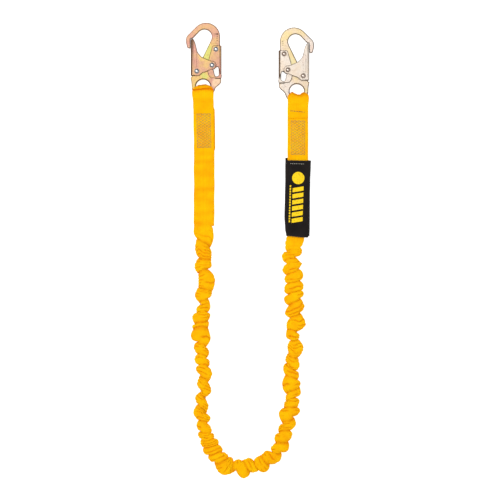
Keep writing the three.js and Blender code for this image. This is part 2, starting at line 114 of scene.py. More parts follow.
def mix(tree, factor, a, b, blend="MIX"):
    made = node(tree, "Mix", data_type="RGBA", blend_type=blend)
    for socket, value in ((made.inputs[0], factor), (made.inputs[6], a), (made.inputs[7], b)):
        if isinstance(value, bpy.types.NodeSocket):
            tree.links.new(value, socket)
        elif isinstance(value, tuple):
            socket.default_value = (*value, 1)
        else:
            socket.default_value = value
    return made.outputs[2]


def blotches(tree, place, scale, detail=3.0, roughness=0.55):
    inputs = {"Vector": place, "Scale": scale, "Detail": detail, "Roughness": roughness}
    return node(tree, "TexNoise", inputs).outputs["Fac"]


def start_material(name, **sockets):
    material = bpy.data.materials.new(name)
    material.use_nodes = True
    shader = material.node_tree.nodes["Principled BSDF"]
    for socket, value in sockets.items():
        shader.inputs[socket.replace("_", " ")].default_value = value
    return material, material.node_tree


def surface(material, colour, height=None, strength=0.0, distance=0.0, rough=None):
    """Links a colour, and a roughness and a bump where they are given, to the material's shader."""
    tree = material.node_tree
    shader = tree.nodes["Principled BSDF"]
    tree.links.new(colour, shader.inputs["Base Color"])
    if rough:
        tree.links.new(rough, shader.inputs["Roughness"])
    if height:
        bump = node(tree, "Bump", {"Height": height, "Strength": strength, "Distance": distance})
        tree.links.new(bump.outputs[0], shader.inputs["Normal"])
    return material


# The crease point attribute: mostly painted shade in folds, along edges and in recesses, with some of the
# surface's own tone.
def shade_and_tone_of(tree):
    return node(tree, "Attribute", attribute_name="crease").outputs["Fac"]


def rescaled(tree, factor, low, high):
    return node(tree, "MapRange", {"Value": factor, "To Min": low, "To Max": high}).outputs[0]


def place_of(tree):
    return node(tree, "TexCoord").outputs["Object"]


def uv_of(tree):
    return node(tree, "UVMap", uv_map="cloth").outputs[0]


# ---------- world ----------


def add_world():
    """Pale overhead and toward -Y, darker near the rest of the horizon, so that metal edges read dark."""
    world = bpy.data.worlds.new("studio")
    world.use_nodes = True
    tree = world.node_tree
    split = node(tree, "SeparateXYZ", {0: node(tree, "TexCoord").outputs["Generated"]})
    toward = node(
        tree, "Math", {0: split.outputs["Y"], 1: -0.3, 2: split.outputs["Z"]}, operation="MULTIPLY_ADD"
    )
    colour = ramp(tree, toward.outputs[0], (0.0, (0.4, 0.4, 0.41)), (0.6, (1, 1, 1)))
    shader = tree.nodes["Background"]
    shader.inputs["Strength"].default_value = 0.8
    tree.links.new(colour, shader.inputs["Color"])
    bpy.context.scene.world = world


# ---------- cloth materials ----------

WARP = 1.15 * MM
PICK = 0.9 * MM


def weave_height(tree, warp=WARP, pick=PICK):
    """Warp ribs along the strap, each bound down by picks that alternate from rib to rib."""
    split = node(tree, "SeparateXYZ", {0: uv_of(tree)})
    across = maths(tree, "DIVIDE", split.outputs["X"], warp)
    along = maths(tree, "DIVIDE", split.outputs["Y"], pick)
    column = maths(tree, "FLOOR", across)
    rib = maths(tree, "ABSOLUTE", maths(tree, "SINE", maths(tree, "MULTIPLY", across, math.pi)))
    shifted = maths(tree, "ADD", along, maths(tree, "MULTIPLY", column, 0.5))
    bound = maths(tree, "ABSOLUTE", maths(tree, "SINE", maths(tree, "MULTIPLY", shifted, math.pi)))
    return maths(tree, "ADD", maths(tree, "MULTIPLY", rib, 0.55), maths(tree, "MULTIPLY", bound, 0.45))


# crease is the colour of the painted shade in the strap's folds and along its edges.
def webbing_material(name, deep, base, light, crease):
    """Woven polyester: a colour that drifts along the strap, with painted shade in its valleys and between
    its ribs, and a soft sheen.
    """
    material, tree = start_material(
        name,
        Roughness=0.8,
        Sheen_Weight=0.05,
        Sheen_Roughness=0.4,
        Sheen_Tint=(1, 0.6, 0.0, 1),
        Specular_IOR_Level=0.06,
    )
    weave = weave_height(tree)
    drift = blotches(tree, place_of(tree), 55, 4)
    colour = ramp(tree, drift, (0.32, deep), (0.5, base), (0.7, light))
    # Painted shade between the weave's ribs.
    shade = ramp(tree, weave, (0.0, (0.72, 0.68, 0.6)), (0.6, (1, 1, 1)))
    colour = mix(tree, 0.55, colour, shade, "MULTIPLY")
    # Painted shade: mixed toward the crease colour where the crease attribute is set.
    colour = mix(tree, shade_and_tone_of(tree), colour, crease)
    fuzz = blotches(tree, place_of(tree), 900, 2)
    height = maths(tree, "ADD", weave, maths(tree, "MULTIPLY", fuzz, 0.3))
    return surface(material, colour, height, 0.55, 0.25 * MM)


def yarn_material(name, dark, light, roughness=0.6):
    """Twisted thread, streaky along its length."""
    material, tree = start_material(name, Roughness=roughness, Sheen_Weight=0.2)
    streak = blotches(tree, place_of(tree), 700, 2)
    colour = ramp(tree, streak, (0.35, dark), (0.65, light))
    twist = node(tree, "TexWave", {"Vector": place_of(tree), "Scale": 900, "Distortion": 1.5})
    return surface(material, colour, twist.outputs["Fac"], 0.4, 0.1 * MM)


def cover_material(name):
    """Black coated cloth: a fine plain weave and faint dust, paler at its hems and along its folded sides.
    """
    material, tree = start_material(
        name, Roughness=0.7, Sheen_Weight=0.06, Sheen_Roughness=0.5, Specular_IOR_Level=0.12
    )
    weave = weave_height(tree, 0.6 * MM, 0.6 * MM)
    dust = blotches(tree, place_of(tree), 38, 5)
    colour = ramp(tree, dust, (0.3, (0.005, 0.0032, 0.0028)), (0.72, (0.014, 0.0098, 0.0085)))
    # Paler where the crease attribute is set: at the hems and along the folded sides.
    colour = mix(tree, shade_and_tone_of(tree), colour, (0.05, 0.043, 0.038))
    return surface(material, colour, weave, 0.5, 0.15 * MM)


def print_material(name):
    """Screen ink, a little broken up where the cloth's weave shows through."""
    material, tree = start_material(name, Roughness=0.7, Specular_IOR_Level=0.15)
    wear = blotches(tree, place_of(tree), 600, 3)
    return surface(material, ramp(tree, wear, (0.3, (0.45, 0.27, 0.01)), (0.45, (0.95, 0.64, 0.01))))


def label_material(name):
    material, tree = start_material(name, Roughness=0.5)
    tint = blotches(tree, place_of(tree), 90, 3)
    colour = ramp(tree, tint, (0.3, (0.72, 0.71, 0.66)), (0.7, (0.86, 0.85, 0.81)))
    return surface(material, colour, blotches(tree, place_of(tree), 1500, 2), 0.2, 0.05 * MM)


# ---------- metal materials ----------


def near(tree, place, point, reach):
    """1 at a point of the scene, in mm, falling to 0 at this reach from it."""
    away = node(tree, "VectorMath", {0: place, 1: Vector(point) * MM}, operation="DISTANCE")
    inputs = {"Value": away.outputs["Value"], "From Max": reach * MM, "To Min": 1.0, "To Max": 0.0}
    return node(tree, "MapRange", inputs, interpolation_type="SMOOTHSTEP").outputs[0]


# How much the film's thickness changes from one of its colours to the next.
FILM_STEP = 0.25


def chromate_material(name, base, stops, zones=(), drift=1.7, roughness=0.3):
    """Zinc plate with a passivation film, patchy, with grime, scratches and pits, and painted shade along
    its edges and in its recesses.

    The stops are the film's colours as it thickens. Each zone shifts the film near a point, in mm.
    """
    material, tree = start_material(name, Metallic=1.0)
    place = place_of(tree)
    patch = maths(tree, "SUBTRACT", blotches(tree, place, 48, 2), 0.5)
    film = maths(tree, "ADD", maths(tree, "MULTIPLY", patch, drift), base)
    for point, reach, shift in zones:
        film = maths(tree, "ADD", film, maths(tree, "MULTIPLY", near(tree, place, point, reach), shift))
    last = len(stops) - 1
    share = maths(tree, "MULTIPLY", film, 1 / (FILM_STEP * last))
    colour = ramp(tree, share, *[(i / last, stop) for i, stop in enumerate(stops)])
    grime = ramp(tree, blotches(tree, place, 260, 5), (0.56, (0, 0, 0)), (0.78, (0.45, 0.45, 0.45)))
    colour = mix(tree, grime, colour, (0.2, 0.11, 0.05))
    # Painted shade: dark brown along the edges and in recesses, where the crease attribute is set.
    edge = maths(tree, "MULTIPLY", shade_and_tone_of(tree), 0.95)
    colour = mix(tree, edge, colour, (0.06, 0.032, 0.016))
    stretched = node(tree, "Mapping", {"Vector": place, "Scale": (1, 0.06, 1)}).outputs[0]
    scratch = blotches(tree, stretched, 1400, 2)
    rough = rescaled(tree, scratch, roughness - 0.1, roughness + 0.15)
    pits = maths(tree, "ADD", blotches(tree, place, 260, 4), maths(tree, "MULTIPLY", scratch, 0.3))
    return surface(material, colour, pits, 0.2, 0.25 * MM, rough)


def steel_material(name, dark, light, rim, roughness):
    """Bare or thinly plated steel, finely scratched, with painted shade, the rim colour, where the crease
    attribute is set.
    """
    material, tree = start_material(name, Metallic=1.0)
    place = place_of(tree)
    colour = ramp(tree, blotches(tree, place, 220, 4), (0.3, dark), (0.65, light))
    # Painted shade: the rim colour in grooves and round rims.
    colour = mix(tree, shade_and_tone_of(tree), colour, rim)
    scratch = blotches(tree, place, 1200, 3)
    rough = rescaled(tree, scratch, roughness - 0.08, roughness + 0.12)
    return surface(material, colour, scratch, 0.15, 0.05 * MM, rough)


def floor_material():
    material, tree = start_material(
        "paper", Roughness=0.9, Specular_IOR_Level=0.1, Emission_Color=(1, 1, 1, 1), Emission_Strength=0.85
    )
    tint = blotches(tree, place_of(tree), 4, 2)
    return surface(material, ramp(tree, tint, (0.3, (0.6, 0.6, 0.6)), (0.7, (0.62, 0.62, 0.62))))


# The crease colour is painted shade, a deeper orange for the strap's folds and edges.
YELLOW = webbing_material(
    "yellow webbing", (0.97, 0.44, 0.0), (1.0, 0.51, 0.0), (1.0, 0.58, 0.0), crease=(0.72, 0.165, 0.0)
)
STITCH_THREAD = yarn_material("tan thread", (0.33, 0.19, 0.03), (0.56, 0.36, 0.08))
DARK_TACK = yarn_material("brown thread", (0.1, 0.045, 0.01), (0.24, 0.12, 0.02))
PALE_THREAD = yarn_material("pale thread", (0.5, 0.46, 0.36), (0.78, 0.74, 0.64))
CORE_YARN = yarn_material("core yarn", (0.6, 0.56, 0.42), (0.8, 0.76, 0.62), 0.8)
RUBBER = yarn_material("elastic", (0.5, 0.46, 0.36), (0.7, 0.65, 0.52), 0.75)
BLACK = cover_material("black cloth")
INK = print_material("yellow ink")
LABEL = label_material("label film")

# Colours of the plating's film, from the thinnest to the thickest.
ORANGE_FILM = (
    (0.44, 0.41, 0.12),
    (0.51, 0.35, 0.125),
    (0.47, 0.285, 0.145),
    (0.44, 0.245, 0.165),
    (0.42, 0.205, 0.165),
    (0.56, 0.38, 0.25),
)
CREAM_FILM = (
    (0.59, 0.58, 0.36),
    (0.63, 0.5, 0.26),
    (0.62, 0.5, 0.38),
    (0.62, 0.55, 0.48),
    (0.63, 0.5, 0.42),
)
LEFT_PLATED = chromate_material(
    "chromate orange plate",
    0.5,
    ORANGE_FILM,
    (
        ((-71, 333, 14), 24, -0.6),
        ((-76, 296, 14), 12, -0.6),
        ((-104, 346, 14), 36, 0.45),
        ((-80, 378, 14), 30, 0.28),
        ((-56, 352, 14), 20, 0.2),
        ((-56, 283, 14), 21, 1.15),
    ),
)
LEFT_SHEET = chromate_material("chromate orange sheet", 0.6, ORANGE_FILM, drift=2.2)
RIGHT_PLATED = chromate_material(
    "chromate cream plate",
    0.42,
    CREAM_FILM,
    (
        ((66, 312, 14), 22, -0.4),
        ((104, 340, 14), 30, 0.5),
        ((60, 272, 14), 20, 0.35),
    ),
    0.9,
)
RIGHT_SHEET = chromate_material("chromate cream sheet", 0.7, CREAM_FILM, drift=0.8)
# The third colour of each is the painted shade of its grooves and rims.
BRIGHT = steel_material("bright steel", (0.6, 0.6, 0.62), (0.85, 0.85, 0.86), (0.025, 0.02, 0.018), 0.2)
PLATED_RIVET = steel_material(
    "plated rivet", (0.55, 0.46, 0.4), (0.74, 0.65, 0.58), (0.14, 0.09, 0.06), 0.28
)
SPRING = steel_material("spring steel", (0.3, 0.3, 0.32), (0.55, 0.56, 0.58), (0.1, 0.1, 0.1), 0.35)

# ---------- mesh helpers ----------


def add_mesh(name, points, faces, material, uvs=None, values=None):
    """A smooth mesh. uvs holds one list of corners a face, in metres of cloth; values is 0..1 a point,
    kept as its crease attribute of painted shade and tone.
    """
    mesh = bpy.data.meshes.new(name)
    mesh.from_pydata(points, [], faces)
    mesh.materials.append(material)
    if uvs:
        layer = mesh.uv_layers.new(name="cloth")
        flat = [number for face in uvs for corner in face for number in corner]
        layer.data.foreach_set("uv", flat)
    if values:
        mesh.attributes.new("crease", "FLOAT", "POINT").data.foreach_set("value", values)
    mesh.polygons.foreach_set("use_smooth", [True] * len(mesh.polygons))
    mesh.update()
    made = bpy.data.objects.new(name, mesh)
    bpy.context.collection.objects.link(made)
    return made


def tube_faces(rings, sides, closed_ends=True):
    """Quads between rings of points, and one polygon over each end where they are closed."""
    faces = []
    for i in range(rings - 1):
        for j in range(sides):
            k = (j + 1) % sides
            faces.append((i * sides + j, i * sides + k, (i + 1) * sides + k, (i + 1) * sides + j))
    if closed_ends:
        faces.append(tuple(reversed(range(sides))))
        faces.append(tuple(range((rings - 1) * sides, rings * sides)))
    return faces


def tube_uvs(rings, sides, girth, places, closed_ends=True):
    """The cloth's own metres round and along a tube."""
    corners = []
    for i in range(rings - 1):
        for j in range(sides):
            low, high = girth * j / sides, girth * (j + 1) / sides
            corners.append(
                ((low, places[i]), (high, places[i]), (high, places[i + 1]), (low, places[i + 1]))
            )
    if closed_ends:
        flat = [(girth * j / sides, 0.0) for j in range(sides)]
        corners.append(tuple(reversed(flat)))
        corners.append(tuple(flat))
    return corners


def add_tube(name, points, sides, girth, places, material, values=None):
    """A closed tube through rings of points, one ring for each place along it."""
    rings = len(places)
    uvs = tube_uvs(rings, sides, girth, places)
    return add_mesh(name, points, tube_faces(rings, sides), material, uvs, values or [0.0] * len(points))


def round_turns(sides):
    return [2 * math.pi * j / sides for j in range(sides)]


def bulge(value, power):
    return math.copysign(abs(value) ** power, value)


def smoothstep(value, low, high):
    share = min(max((value - low) / (high - low), 0.0), 1.0)
    return share * share * (3 - 2 * share)


def lerp(a, b, share):
    return a + (b - a) * share


# ---------- the strap's centre line ----------

# The same points as the CAD route, in metres.
ROUTE = [
    Vector(point) * MM
    for point in (
        (-79.2, 247.3, 9.8), (-78.5, 213, 8.4), (-78, 163, 6.7), (-78, 118, 4.9),
        (-78, 83, 4.5), (-78.5, 43, 5.2), (-80, 8, 8.6), (-79, -27, 9),
        (-76, -57, 9), (-79, -87, 9), (-82, -120, 9), (-84, -147, 9),
        (-81, -177, 9), (-78, -207, 9), (-78, -237, 9), (-83, -262, 9),
        (-83, -285, 9), (-78, -308, 9), (-70, -329, 9), (-56, -350, 9),
        (-36, -365, 9), (-10, -371, 9), (15, -366, 9), (36, -351, 9),
        (51, -330, 9), (60, -300, 9), (67, -270, 9), (70, -238, 9),
        (70, -205, 9), (73, -172, 9), (74, -140, 9), (76, -112, 9),
        (73, -80, 9), (72, -48, 9), (70, -22, 9), (75.5, -4, 9),
        (80.5, 20, 9), (81, 85, 9), (81.4, 160, 9), (81.4, 239.3, 9.8),
    )
]
SPAN_STEPS = 24


def spline(points, steps=SPAN_STEPS):
    """A centripetal Catmull-Rom curve through the points, as many short chords."""
    ends = [points[0] * 2 - points[1], *points, points[-1] * 2 - points[-2]]
    line = []
    for p0, p1, p2, p3 in zip(ends, ends[1:], ends[2:], ends[3:]):
        d0, d1, d2 = (math.sqrt((b - a).length) for a, b in ((p0, p1), (p1, p2), (p2, p3)))
        start = ((p1 - p0) / d0 - (p2 - p0) / (d0 + d1) + (p2 - p1) / d1) * d1
        stop = ((p2 - p1) / d1 - (p3 - p1) / (d1 + d2) + (p3 - p2) / d2) * d1
        for k in range(steps):
            t = k / steps
            line.append(
                p1
                + start * t
                + ((p2 - p1) * 3 - start * 2 - stop) * t**2
                + ((p1 - p2) * 2 + start + stop) * t**3
            )
    line.append(points[-1].copy())
    return line


class Line:
    """A curve by distance along it, with a level frame: outward across it, and up from its face."""

    def __init__(self, points):
        self.points = spline(points)
        self.places = [0.0]
        for a, b in zip(self.points, self.points[1:]):
            self.places.append(self.places[-1] + (b - a).length)
        self.length = self.places[-1]

    def at(self, place):
        place = min(max(place, 0.0), self.length)
        low, high = 0, len(self.places) - 1
        while high - low > 1:
            middle = (low + high) // 2
            if self.places[middle] > place:
                high = middle
            else:
                low = middle
        a, b = self.points[low], self.points[high]
        share = (place - self.places[low]) / (self.places[high] - self.places[low])
        return a.lerp(b, share)

    def frame(self, place, reach=1.5 * MM):
        ahead = self.at(place + reach) - self.at(place - reach)
        ahead.normalize()
        out = Vector((ahead.y, -ahead.x, 0)).normalized()
        return self.at(place), ahead, out, out.cross(ahead)


STRAP = Line(ROUTE)

# ---------- the gathered jacket ----------

FLAT_HALF = 17.6 * MM
FLAT_THICK = 3.9 * MM
END_INSET = 4.4 * MM
WEBBING_GIRTH = 84 * MM

# Each crease across the gathered length, in mm: where it meets the outer and the inner edge, how far out
# each edge is there, and how far out each edge swells before the next crease.
CREASES = (
    (205, 207, 17, 14, 17, 18),
    (230, 246, 11, 12, 14, 15),
    (262, 266, 8, 14, 16, 14),
    (288, 282, 11, 6, 12, 17),
    (314, 318, 12, 13, 16, 13),
    (342, 331, 4, 8, 11, 13),
    (357, 355, 10, 9, 17, 14),
    (377, 369, 11, 11, 15, 13),
    (386, 380, 13, 12, 17, 17),
    (405, 416, 7, 7, 14, 12),
    (426, 435, 9, 6, 15, 11),
    (445, 449, 8, 8, 14, 14),
    (462, 475, 7, 6, 13, 13),
    (491, 500, 4, 4, 12, 13),
    (513, 529, 6, 9, 13, 16),
    (539, 547, 6, 8, 11, 13),
    (557, 566, 6, 10, 13, 14),
    (570, 577, 9, 11, 14, 16),
    (583, 591, 11, 12, 16, 15),
    (597, 608, 11, 10, 16, 13),
    (610, 624, 11, 10, 22, 12),
    (645, 637, 7, 6, 19, 13),
    (667, 652, 10, 11, 11, 16),
    (679, 677, 9, 9, 17, 13),
    (698, 695, 10, 12, 17, 13),
    (724, 715, 10, 3, 18, 10),
    (743, 732, 12, 7, 16, 13),
    (760, 752, 10, 8, 17, 11),
    (784, 768, 10, 5, 19, 16),
    (800, 796, 13, 10, 16, 10),
    (816, 808, 8, 7, 17, 9),
    (834, 820, 14, 8, 16, 16),
    (845, 854, 11, 10, 14, 14),
    (861, 874, 8, 8, 14, 12),
    (884, 890, 10, 8, 18, 10),
    (915, 913, 8, 5, 11, 13),
    (927, 931, 5, 12, 20, 13),
    (959, 950, 9, 8, 18, 17),
    (983, 973, 13, 9, 19, 16),
    (997, 991, 15, 8, 19, 15),
    (1014, 1010, 13, 10, 19, 14),
    (1033, 1025, 13, 10, 19, 16),
    (1057, 1043, 5, 7, 13, 18),
    (1074, 1060, 9, 13, 12, 19),
    (1100, 1096, 14, 18, 14, 18),
)
GATHER_STARTS = (0.197, 0.25)
GATHER_ENDS = (1.05, 1.088)
NOTCH_THICK = 5.6 * MM
LOBE_THICK = 8.8 * MM
FINE_PITCH = (4.6 * MM, 8.0 * MM)
FINE_DEPTH = 2.7 * MM
# Painted shade: how much lies broadly in the valleys next to each crease.
VALLEY_SHADE = 0.24
FLAT_TONE = 0.1
JACKET_STEP = 0.9 * MM
JACKET_SIDES = 64


def lobe(share, size=0.0):
    """A swell between two creases this far apart: a short one is ring-like, a long one a plain wave."""
    long = smoothstep(size, 12 * MM, 26 * MM)
    return (1 - abs(2 * share - 1) ** lerp(2.1, 1.75, long)) ** lerp(0.7, 0.95, long)


class Gathers:
    """How the jacket swells and creases at each place along it and across it."""

    def __init__(self):
        draw = random.Random(7)
        self.rows = [[value * MM for value in row] for row in CREASES]
        self.bows = [draw.uniform(-3.5, 3.5) * MM for _ in CREASES]
        self.leans = [draw.uniform(-3.2, 3.2) * MM for _ in CREASES]
        self.depths = [draw.uniform(0.5, 1.0) for _ in CREASES]
        self.counts = [
            max(1, round((after[0] - row[0]) / draw.uniform(*FINE_PITCH)))
            for row, after in zip(self.rows, self.rows[1:])
        ]

    def crease(self, i, across):
        """Where crease i runs, at -1 on the inner edge to 1 on the outer."""
        outer, inner = self.rows[i][:2]
        return lerp(inner, outer, (across + 1) / 2) + self.bows[i] * (1 - across * across)

    def between(self, place, across):
        """The crease behind, the share of the way to the next, and their distance; None outside."""
        last = len(self.rows) - 1
        for i in range(last):
            high = self.crease(i + 1, across)
            if place < high:
                low = self.crease(i, across)
                if place < low:
                    return None
                return i, (place - low) / (high - low), high - low
        return None

    def reach(self, place, side):
        """How far out the edge is, 1 for the outer edge and 0 for the inner."""
        found = self.between(place, 2 * side - 1)
        if found is None:
            return FLAT_HALF
        i, share, size = found
        notch, swell = 3 - side, 5 - side
        low = lerp(self.rows[i][notch], self.rows[i + 1][notch], smoothstep(share, 0, 1))
        width = low + (self.rows[i][swell] - low) * lobe(share, size)
        return width - 0.45 * FINE_DEPTH * self.fine(found, 2 * side - 1, 0)

    def fine(self, found, across, face):
        """How deep in one of the small folds between two creases: each runs part of the way across."""
        if found is None:
            return 0.0
        i, share, _ = found
        bend = noise.noise(Vector((across * 1.4, i * 3.1, face * 5)))
        phase = self.counts[i] * (share + 0.8 * bend * share * (1 - share))
        dip = 1 - lobe(phase - math.floor(phase))
        run = noise.noise(Vector((across * 1.2 + face * 9, i * 7.7, round(phase) * 3.3)))
        return dip * smoothstep(run, -0.3, 0.15)

    def thickness(self, found, across, face):
        """Half thickness, the lean of the fold along the strap, and how much painted shade its creases
        take.
        """
        if found is None:
            return FLAT_THICK, 0.0, 0.0
        i, share, size = found
        swell = lobe(share, size)
        depth = lerp(self.depths[i], self.depths[i + 1], share)
        edge = 0.45 + 0.55 * abs(across)
        notch = lerp(LOBE_THICK, NOTCH_THICK, depth * edge)
        small = self.fine(found, across, face)
        thick = notch + (LOBE_THICK - notch) * swell - FINE_DEPTH * small
        # Painted shade: broad in the valleys beside each crease, deepest at a crease and in the small
        # folds.
        valley = VALLEY_SHADE * abs(2 * share - 1) ** 1.5 * depth
        crease = max(valley, 0.8 * (1 - swell) ** 1.6 * depth * (0.3 + edge), small**1.3)
        return thick, self.leans[i] * swell * depth, min(crease, 1.0)


GATHERS = Gathers()

# Soft folds across the flat legs, in mm: where each crosses the middle, how far it slants from edge to
# edge, how broad it is and how deep.
SOFT_FOLDS = (
    (84, -5, 5, 0.5),
    (99, 4, 4, 1.1),
    (118, -6, 6, 0.5),
    (146, 5, 4.5, 0.9),
    (163, -7, 6, 0.6),
    (186, 6, 5, 0.8),
    (204, -5, 4, 0.9),
    (1094, 5, 5, 0.6),
)


def soft_fold(place, across):
    """How deep the flat webbing dips here, from 0 to about 1."""
    return sum(
        depth * math.exp(-(((place / MM - middle - slant * across / 2) / breadth) ** 2))
        for middle, slant, breadth, depth in SOFT_FOLDS
    )


def gathered(place):
    """0 where the jacket lies flat, 1 where it is fully gathered."""
    return smoothstep(place, *GATHER_STARTS) * (1 - smoothstep(place, *GATHER_ENDS))


def jacket_point(place, angle):
    """A point on the jacket and how much painted shade its folds and edges put on it."""
    centre, ahead, out, rise = STRAP.frame(place)
    share = gathered(place)
    across = math.cos(angle)
    side = 1 if across > 0 else 0
    power = lerp(0.42, 0.8, share)
    width = GATHERS.reach(place, side) if CREASES[0][0] * MM < place < CREASES[-1][0] * MM else FLAT_HALF
    face = 1 if math.sin(angle) > 0 else -1
    thick, lean, crease = GATHERS.thickness(GATHERS.between(place, across), across, face)
    thick = lerp(FLAT_THICK, thick, share)
    drift = noise.noise(Vector((place * 40, side * 5, 1))) * 0.5 * MM
    x = (width + drift) * bulge(across, power)
    z = thick * bulge(math.sin(angle), power)
    wobble = noise.noise(Vector((place * 150, across * 3, 4 * face)))
    z += wobble * 0.5 * MM * (0.35 + share)
    fold = soft_fold(place, across) * (1 - share)
    if face > 0:
        z -= 0.9 * MM * fold
    # Painted shade along the rounded edges of the flat legs and in their soft folds, over a flat tone.
    rounded_edge_shade = 0.3 * smoothstep(abs(across), 0.94, 1.0)
    crease = max(crease * share, FLAT_TONE + (0.25 * min(fold, 1) + rounded_edge_shade) * (1 - share))
    point = centre + out * x + rise * z + ahead * (lean * share)
    point.z = max(point.z, 0.0002)
    return point, crease


def outer_jacket():
    count = round((STRAP.length - 2 * END_INSET) / JACKET_STEP)
    places = [lerp(END_INSET, STRAP.length - END_INSET, i / count) for i in range(count + 1)]
    points, values = [], []
    for place in places:
        for turn in round_turns(JACKET_SIDES):
            point, crease = jacket_point(place, turn)
            points.append(point)
            values.append(crease)
    made = add_tube("jacket", points, JACKET_SIDES, WEBBING_GIRTH, places, YELLOW, values)
    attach(made, "strap")
    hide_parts("outer_jacket")
    path = [STRAP.at(STRAP.length * i / 260) for i in range(261)]


def inner_run(name, node_name, half_width, half_thick, offset, material):
    """Something that runs the whole way inside the jacket, following its middle."""
    sides, step, inset_end = 12, 4 * MM, 7 * MM
    count = round((STRAP.length - 2 * inset_end) / step)
    points, places = [], []
    for i in range(count + 1):
        place = inset_end + step * i
        centre, _, out, rise = STRAP.frame(place, 6 * MM)
        spread = [
            (GATHERS.reach(place + shift, 1) - GATHERS.reach(place + shift, 0)) / 2
            for shift in (-12 * MM, -6 * MM, 0, 6 * MM, 12 * MM)
        ]
        middle = sum(spread) / len(spread) * gathered(place)
        places.append(place)
        for turn in round_turns(sides):
            x = middle + offset + half_width * bulge(math.cos(turn), 0.5)
            points.append(centre + out * x + rise * (half_thick * bulge(math.sin(turn), 0.5)))
    made = add_tube(name, points, sides, 4 * half_width, places, material)
    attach(made, "strap")
    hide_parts(node_name)


# ---------- sewn ends ----------

# Webbing at the hook, from under the box stitch up the hook's face and into its eye, then down its back.
# Each row is how far up from the flex line and how high over the hook's mid-plane, in mm, then the share
# of the full width, of the ears' rise and of the ply's thickness, and how creased it is: how much it
# crumples and how much painted shade its folds take.
LEFT_PLY = (
    (-17, 3.0, 0.95, 0, 0.3, 0),
    (-12, 3.6, 0.97, 0, 0.6, 0),
    (-6, 3.9, 1, 0, 0.8, 0),
    (0, 3.9, 1, 0, 0.9, 0),
    (5, 4.8, 1, 0, 1, 0),
    (10, 6.7, 1.02, 0, 1, 0),
    (16, 7.1, 1.05, 0, 1, 0),
    (21, 7.0, 1.04, 0.4, 1, 0.35),
    (23, 5.5, 1.02, 0.8, 0.8, 1),
    (24.6, 5.3, 1.0, 1, 0.7, 1),
    (26.2, 6.7, 0.96, 1, 0.9, 0.75),
    (28.6, 6.2, 0.86, 1, 1, 0.55),
    (30, 3.6, 0.66, 0.8, 1, 0.8),
    (30, 0, 0.6, 0.6, 1, 0.8),
)
RIGHT_PLY = (
    (-16.4, 4.3, 0.99, 0, 0.45, 0.3),
    (-15, 4.5, 1, 0, 0.8, 0.1),
    (-6, 4.3, 1, 0, 0.9, 0),
    (0, 4.1, 1, 0, 0.9, 0),
    (5, 4.8, 1, 0, 1, 0),
    (9, 6.6, 1.01, 0, 1, 0),
    (13.4, 7.1, 1.03, 0.3, 1, 0.1),
    (16.8, 6.9, 1.03, 0.7, 1, 0.35),
    (19, 5.2, 0.98, 1, 1, 0.8),
    (19.9, 2.6, 0.8, 1, 1, 0.9),
    (19.7, 0, 0.68, 0.8, 1, 0.9),
)
BACK_PLY = (
    (20, -3.6, 0.72, 0.5, 1, 0.6),
    (18, -6.2, 0.94, 0.3, 1, 0.1),
    (14, -6.9, 1, 0, 1, 0),
    (9, -6.5, 1, 0, 1, 0),
    (5, -4.8, 1, 0, 1, 0),
    (0, -4.0, 1, 0, 0.9, 0),
    (-5, -4.2, 1, 0, 0.8, 0),
    (-9, -4.6, 1, 0, 0.6, 0),
)
PLY_HALF = 1.25 * MM
TAIL_GIRTH = 78 * MM


def smooth_rows(rows, steps):
    """Rows of numbers with a smooth curve's values put between them."""
    ends = [rows[0], *rows, rows[-1]]
    line = []
    for p0, p1, p2, p3 in zip(ends, ends[1:], ends[2:], ends[3:]):
        for k in range(steps):
            t = k / steps
            line.append(
                [
                    b
                    + (c - a) * t / 2
                    + (a - 2.5 * b + 2 * c - d / 2) * t**2
                    + (1.5 * (b - c) + (d - a) / 2) * t**3
                    for a, b, c, d in zip(p0, p1, p2, p3)
                ]
            )
    return [*line, list(rows[-1])]


def level_ear(across):
    """The left fold: nearly level, a little higher toward the nose side."""
    return (0.9 * math.sin(2.4 * across + 0.4) - 0.9 * across**4) * MM


def valley_ear(across):
    """The right fold: a valley right of the middle between two ears."""
    tilt = across - 0.19
    span = 0.47 if tilt > 0 else 0.85
    rise = min(abs(tilt) / span, 1.0)
    drop = max(abs(tilt) - span, 0) / 0.34
    return (6.4 * rise**0.8 - 3.6 * drop**1.4) * MM


def sewn_end(side, flex, eye_x, shift, ply, ear):
    """Webbing that runs up the hook's face, through its eye and down its back."""
    rows = smooth_rows(list(ply) + list(BACK_PLY), 6)
    sides = 48
    points, values, places = [], [], []
    run = 0.0
    for i, row in enumerate(rows):
        behind, ahead = rows[max(i - 1, 0)], rows[min(i + 1, len(rows) - 1)]
        dy, dz = ahead[0] - behind[0], ahead[1] - behind[1]
        size = math.hypot(dy, dz) or 1.0
        out_y, out_z = -dz / size, dy / size
        y, z, width, ears, thick, crease = row
        run += math.hypot(row[0] - behind[0], row[1] - behind[1]) * MM
        places.append(run)
        pull = (eye_x - flex.x) * min(max((1 - width) / 0.4, 0), 1)
        for turn in round_turns(sides):
            across = bulge(math.cos(turn), 0.6)
            lift = PLY_HALF * thick * bulge(math.sin(turn), 0.6)
            rough = noise.noise(Vector((across * 2.5, y * 0.16, 7 if side == "left" else 9)))
            crumple = noise.noise(Vector((across * 7, y * 0.8, z * 0.5)))
            lift += (0.45 * rough + 0.9 * crease * crumple) * MM * min(thick, 1)
            up = y * MM + ears * ear(across)
            x = flex.x + pull + shift * smoothstep(y, 0, 15) + FLAT_HALF * width * across
            points.append((x, flex.y + up + lift * out_y, flex.z + z * MM + lift * out_z))
            # Painted shade in the folds round the eye, over a flat tone.
            values.append(min(max(crease * (0.75 + 0.6 * crumple), FLAT_TONE), 1))
    made = add_tube(f"sewn_end.{side}", points, sides, WEBBING_GIRTH, places, YELLOW, values)
    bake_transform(made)
    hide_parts(f"{side}_end_loop")


def leg_place(leg, distance):
    """The place along the strap this far down a leg from its flex line."""
    return distance if leg == "left" else STRAP.length - distance


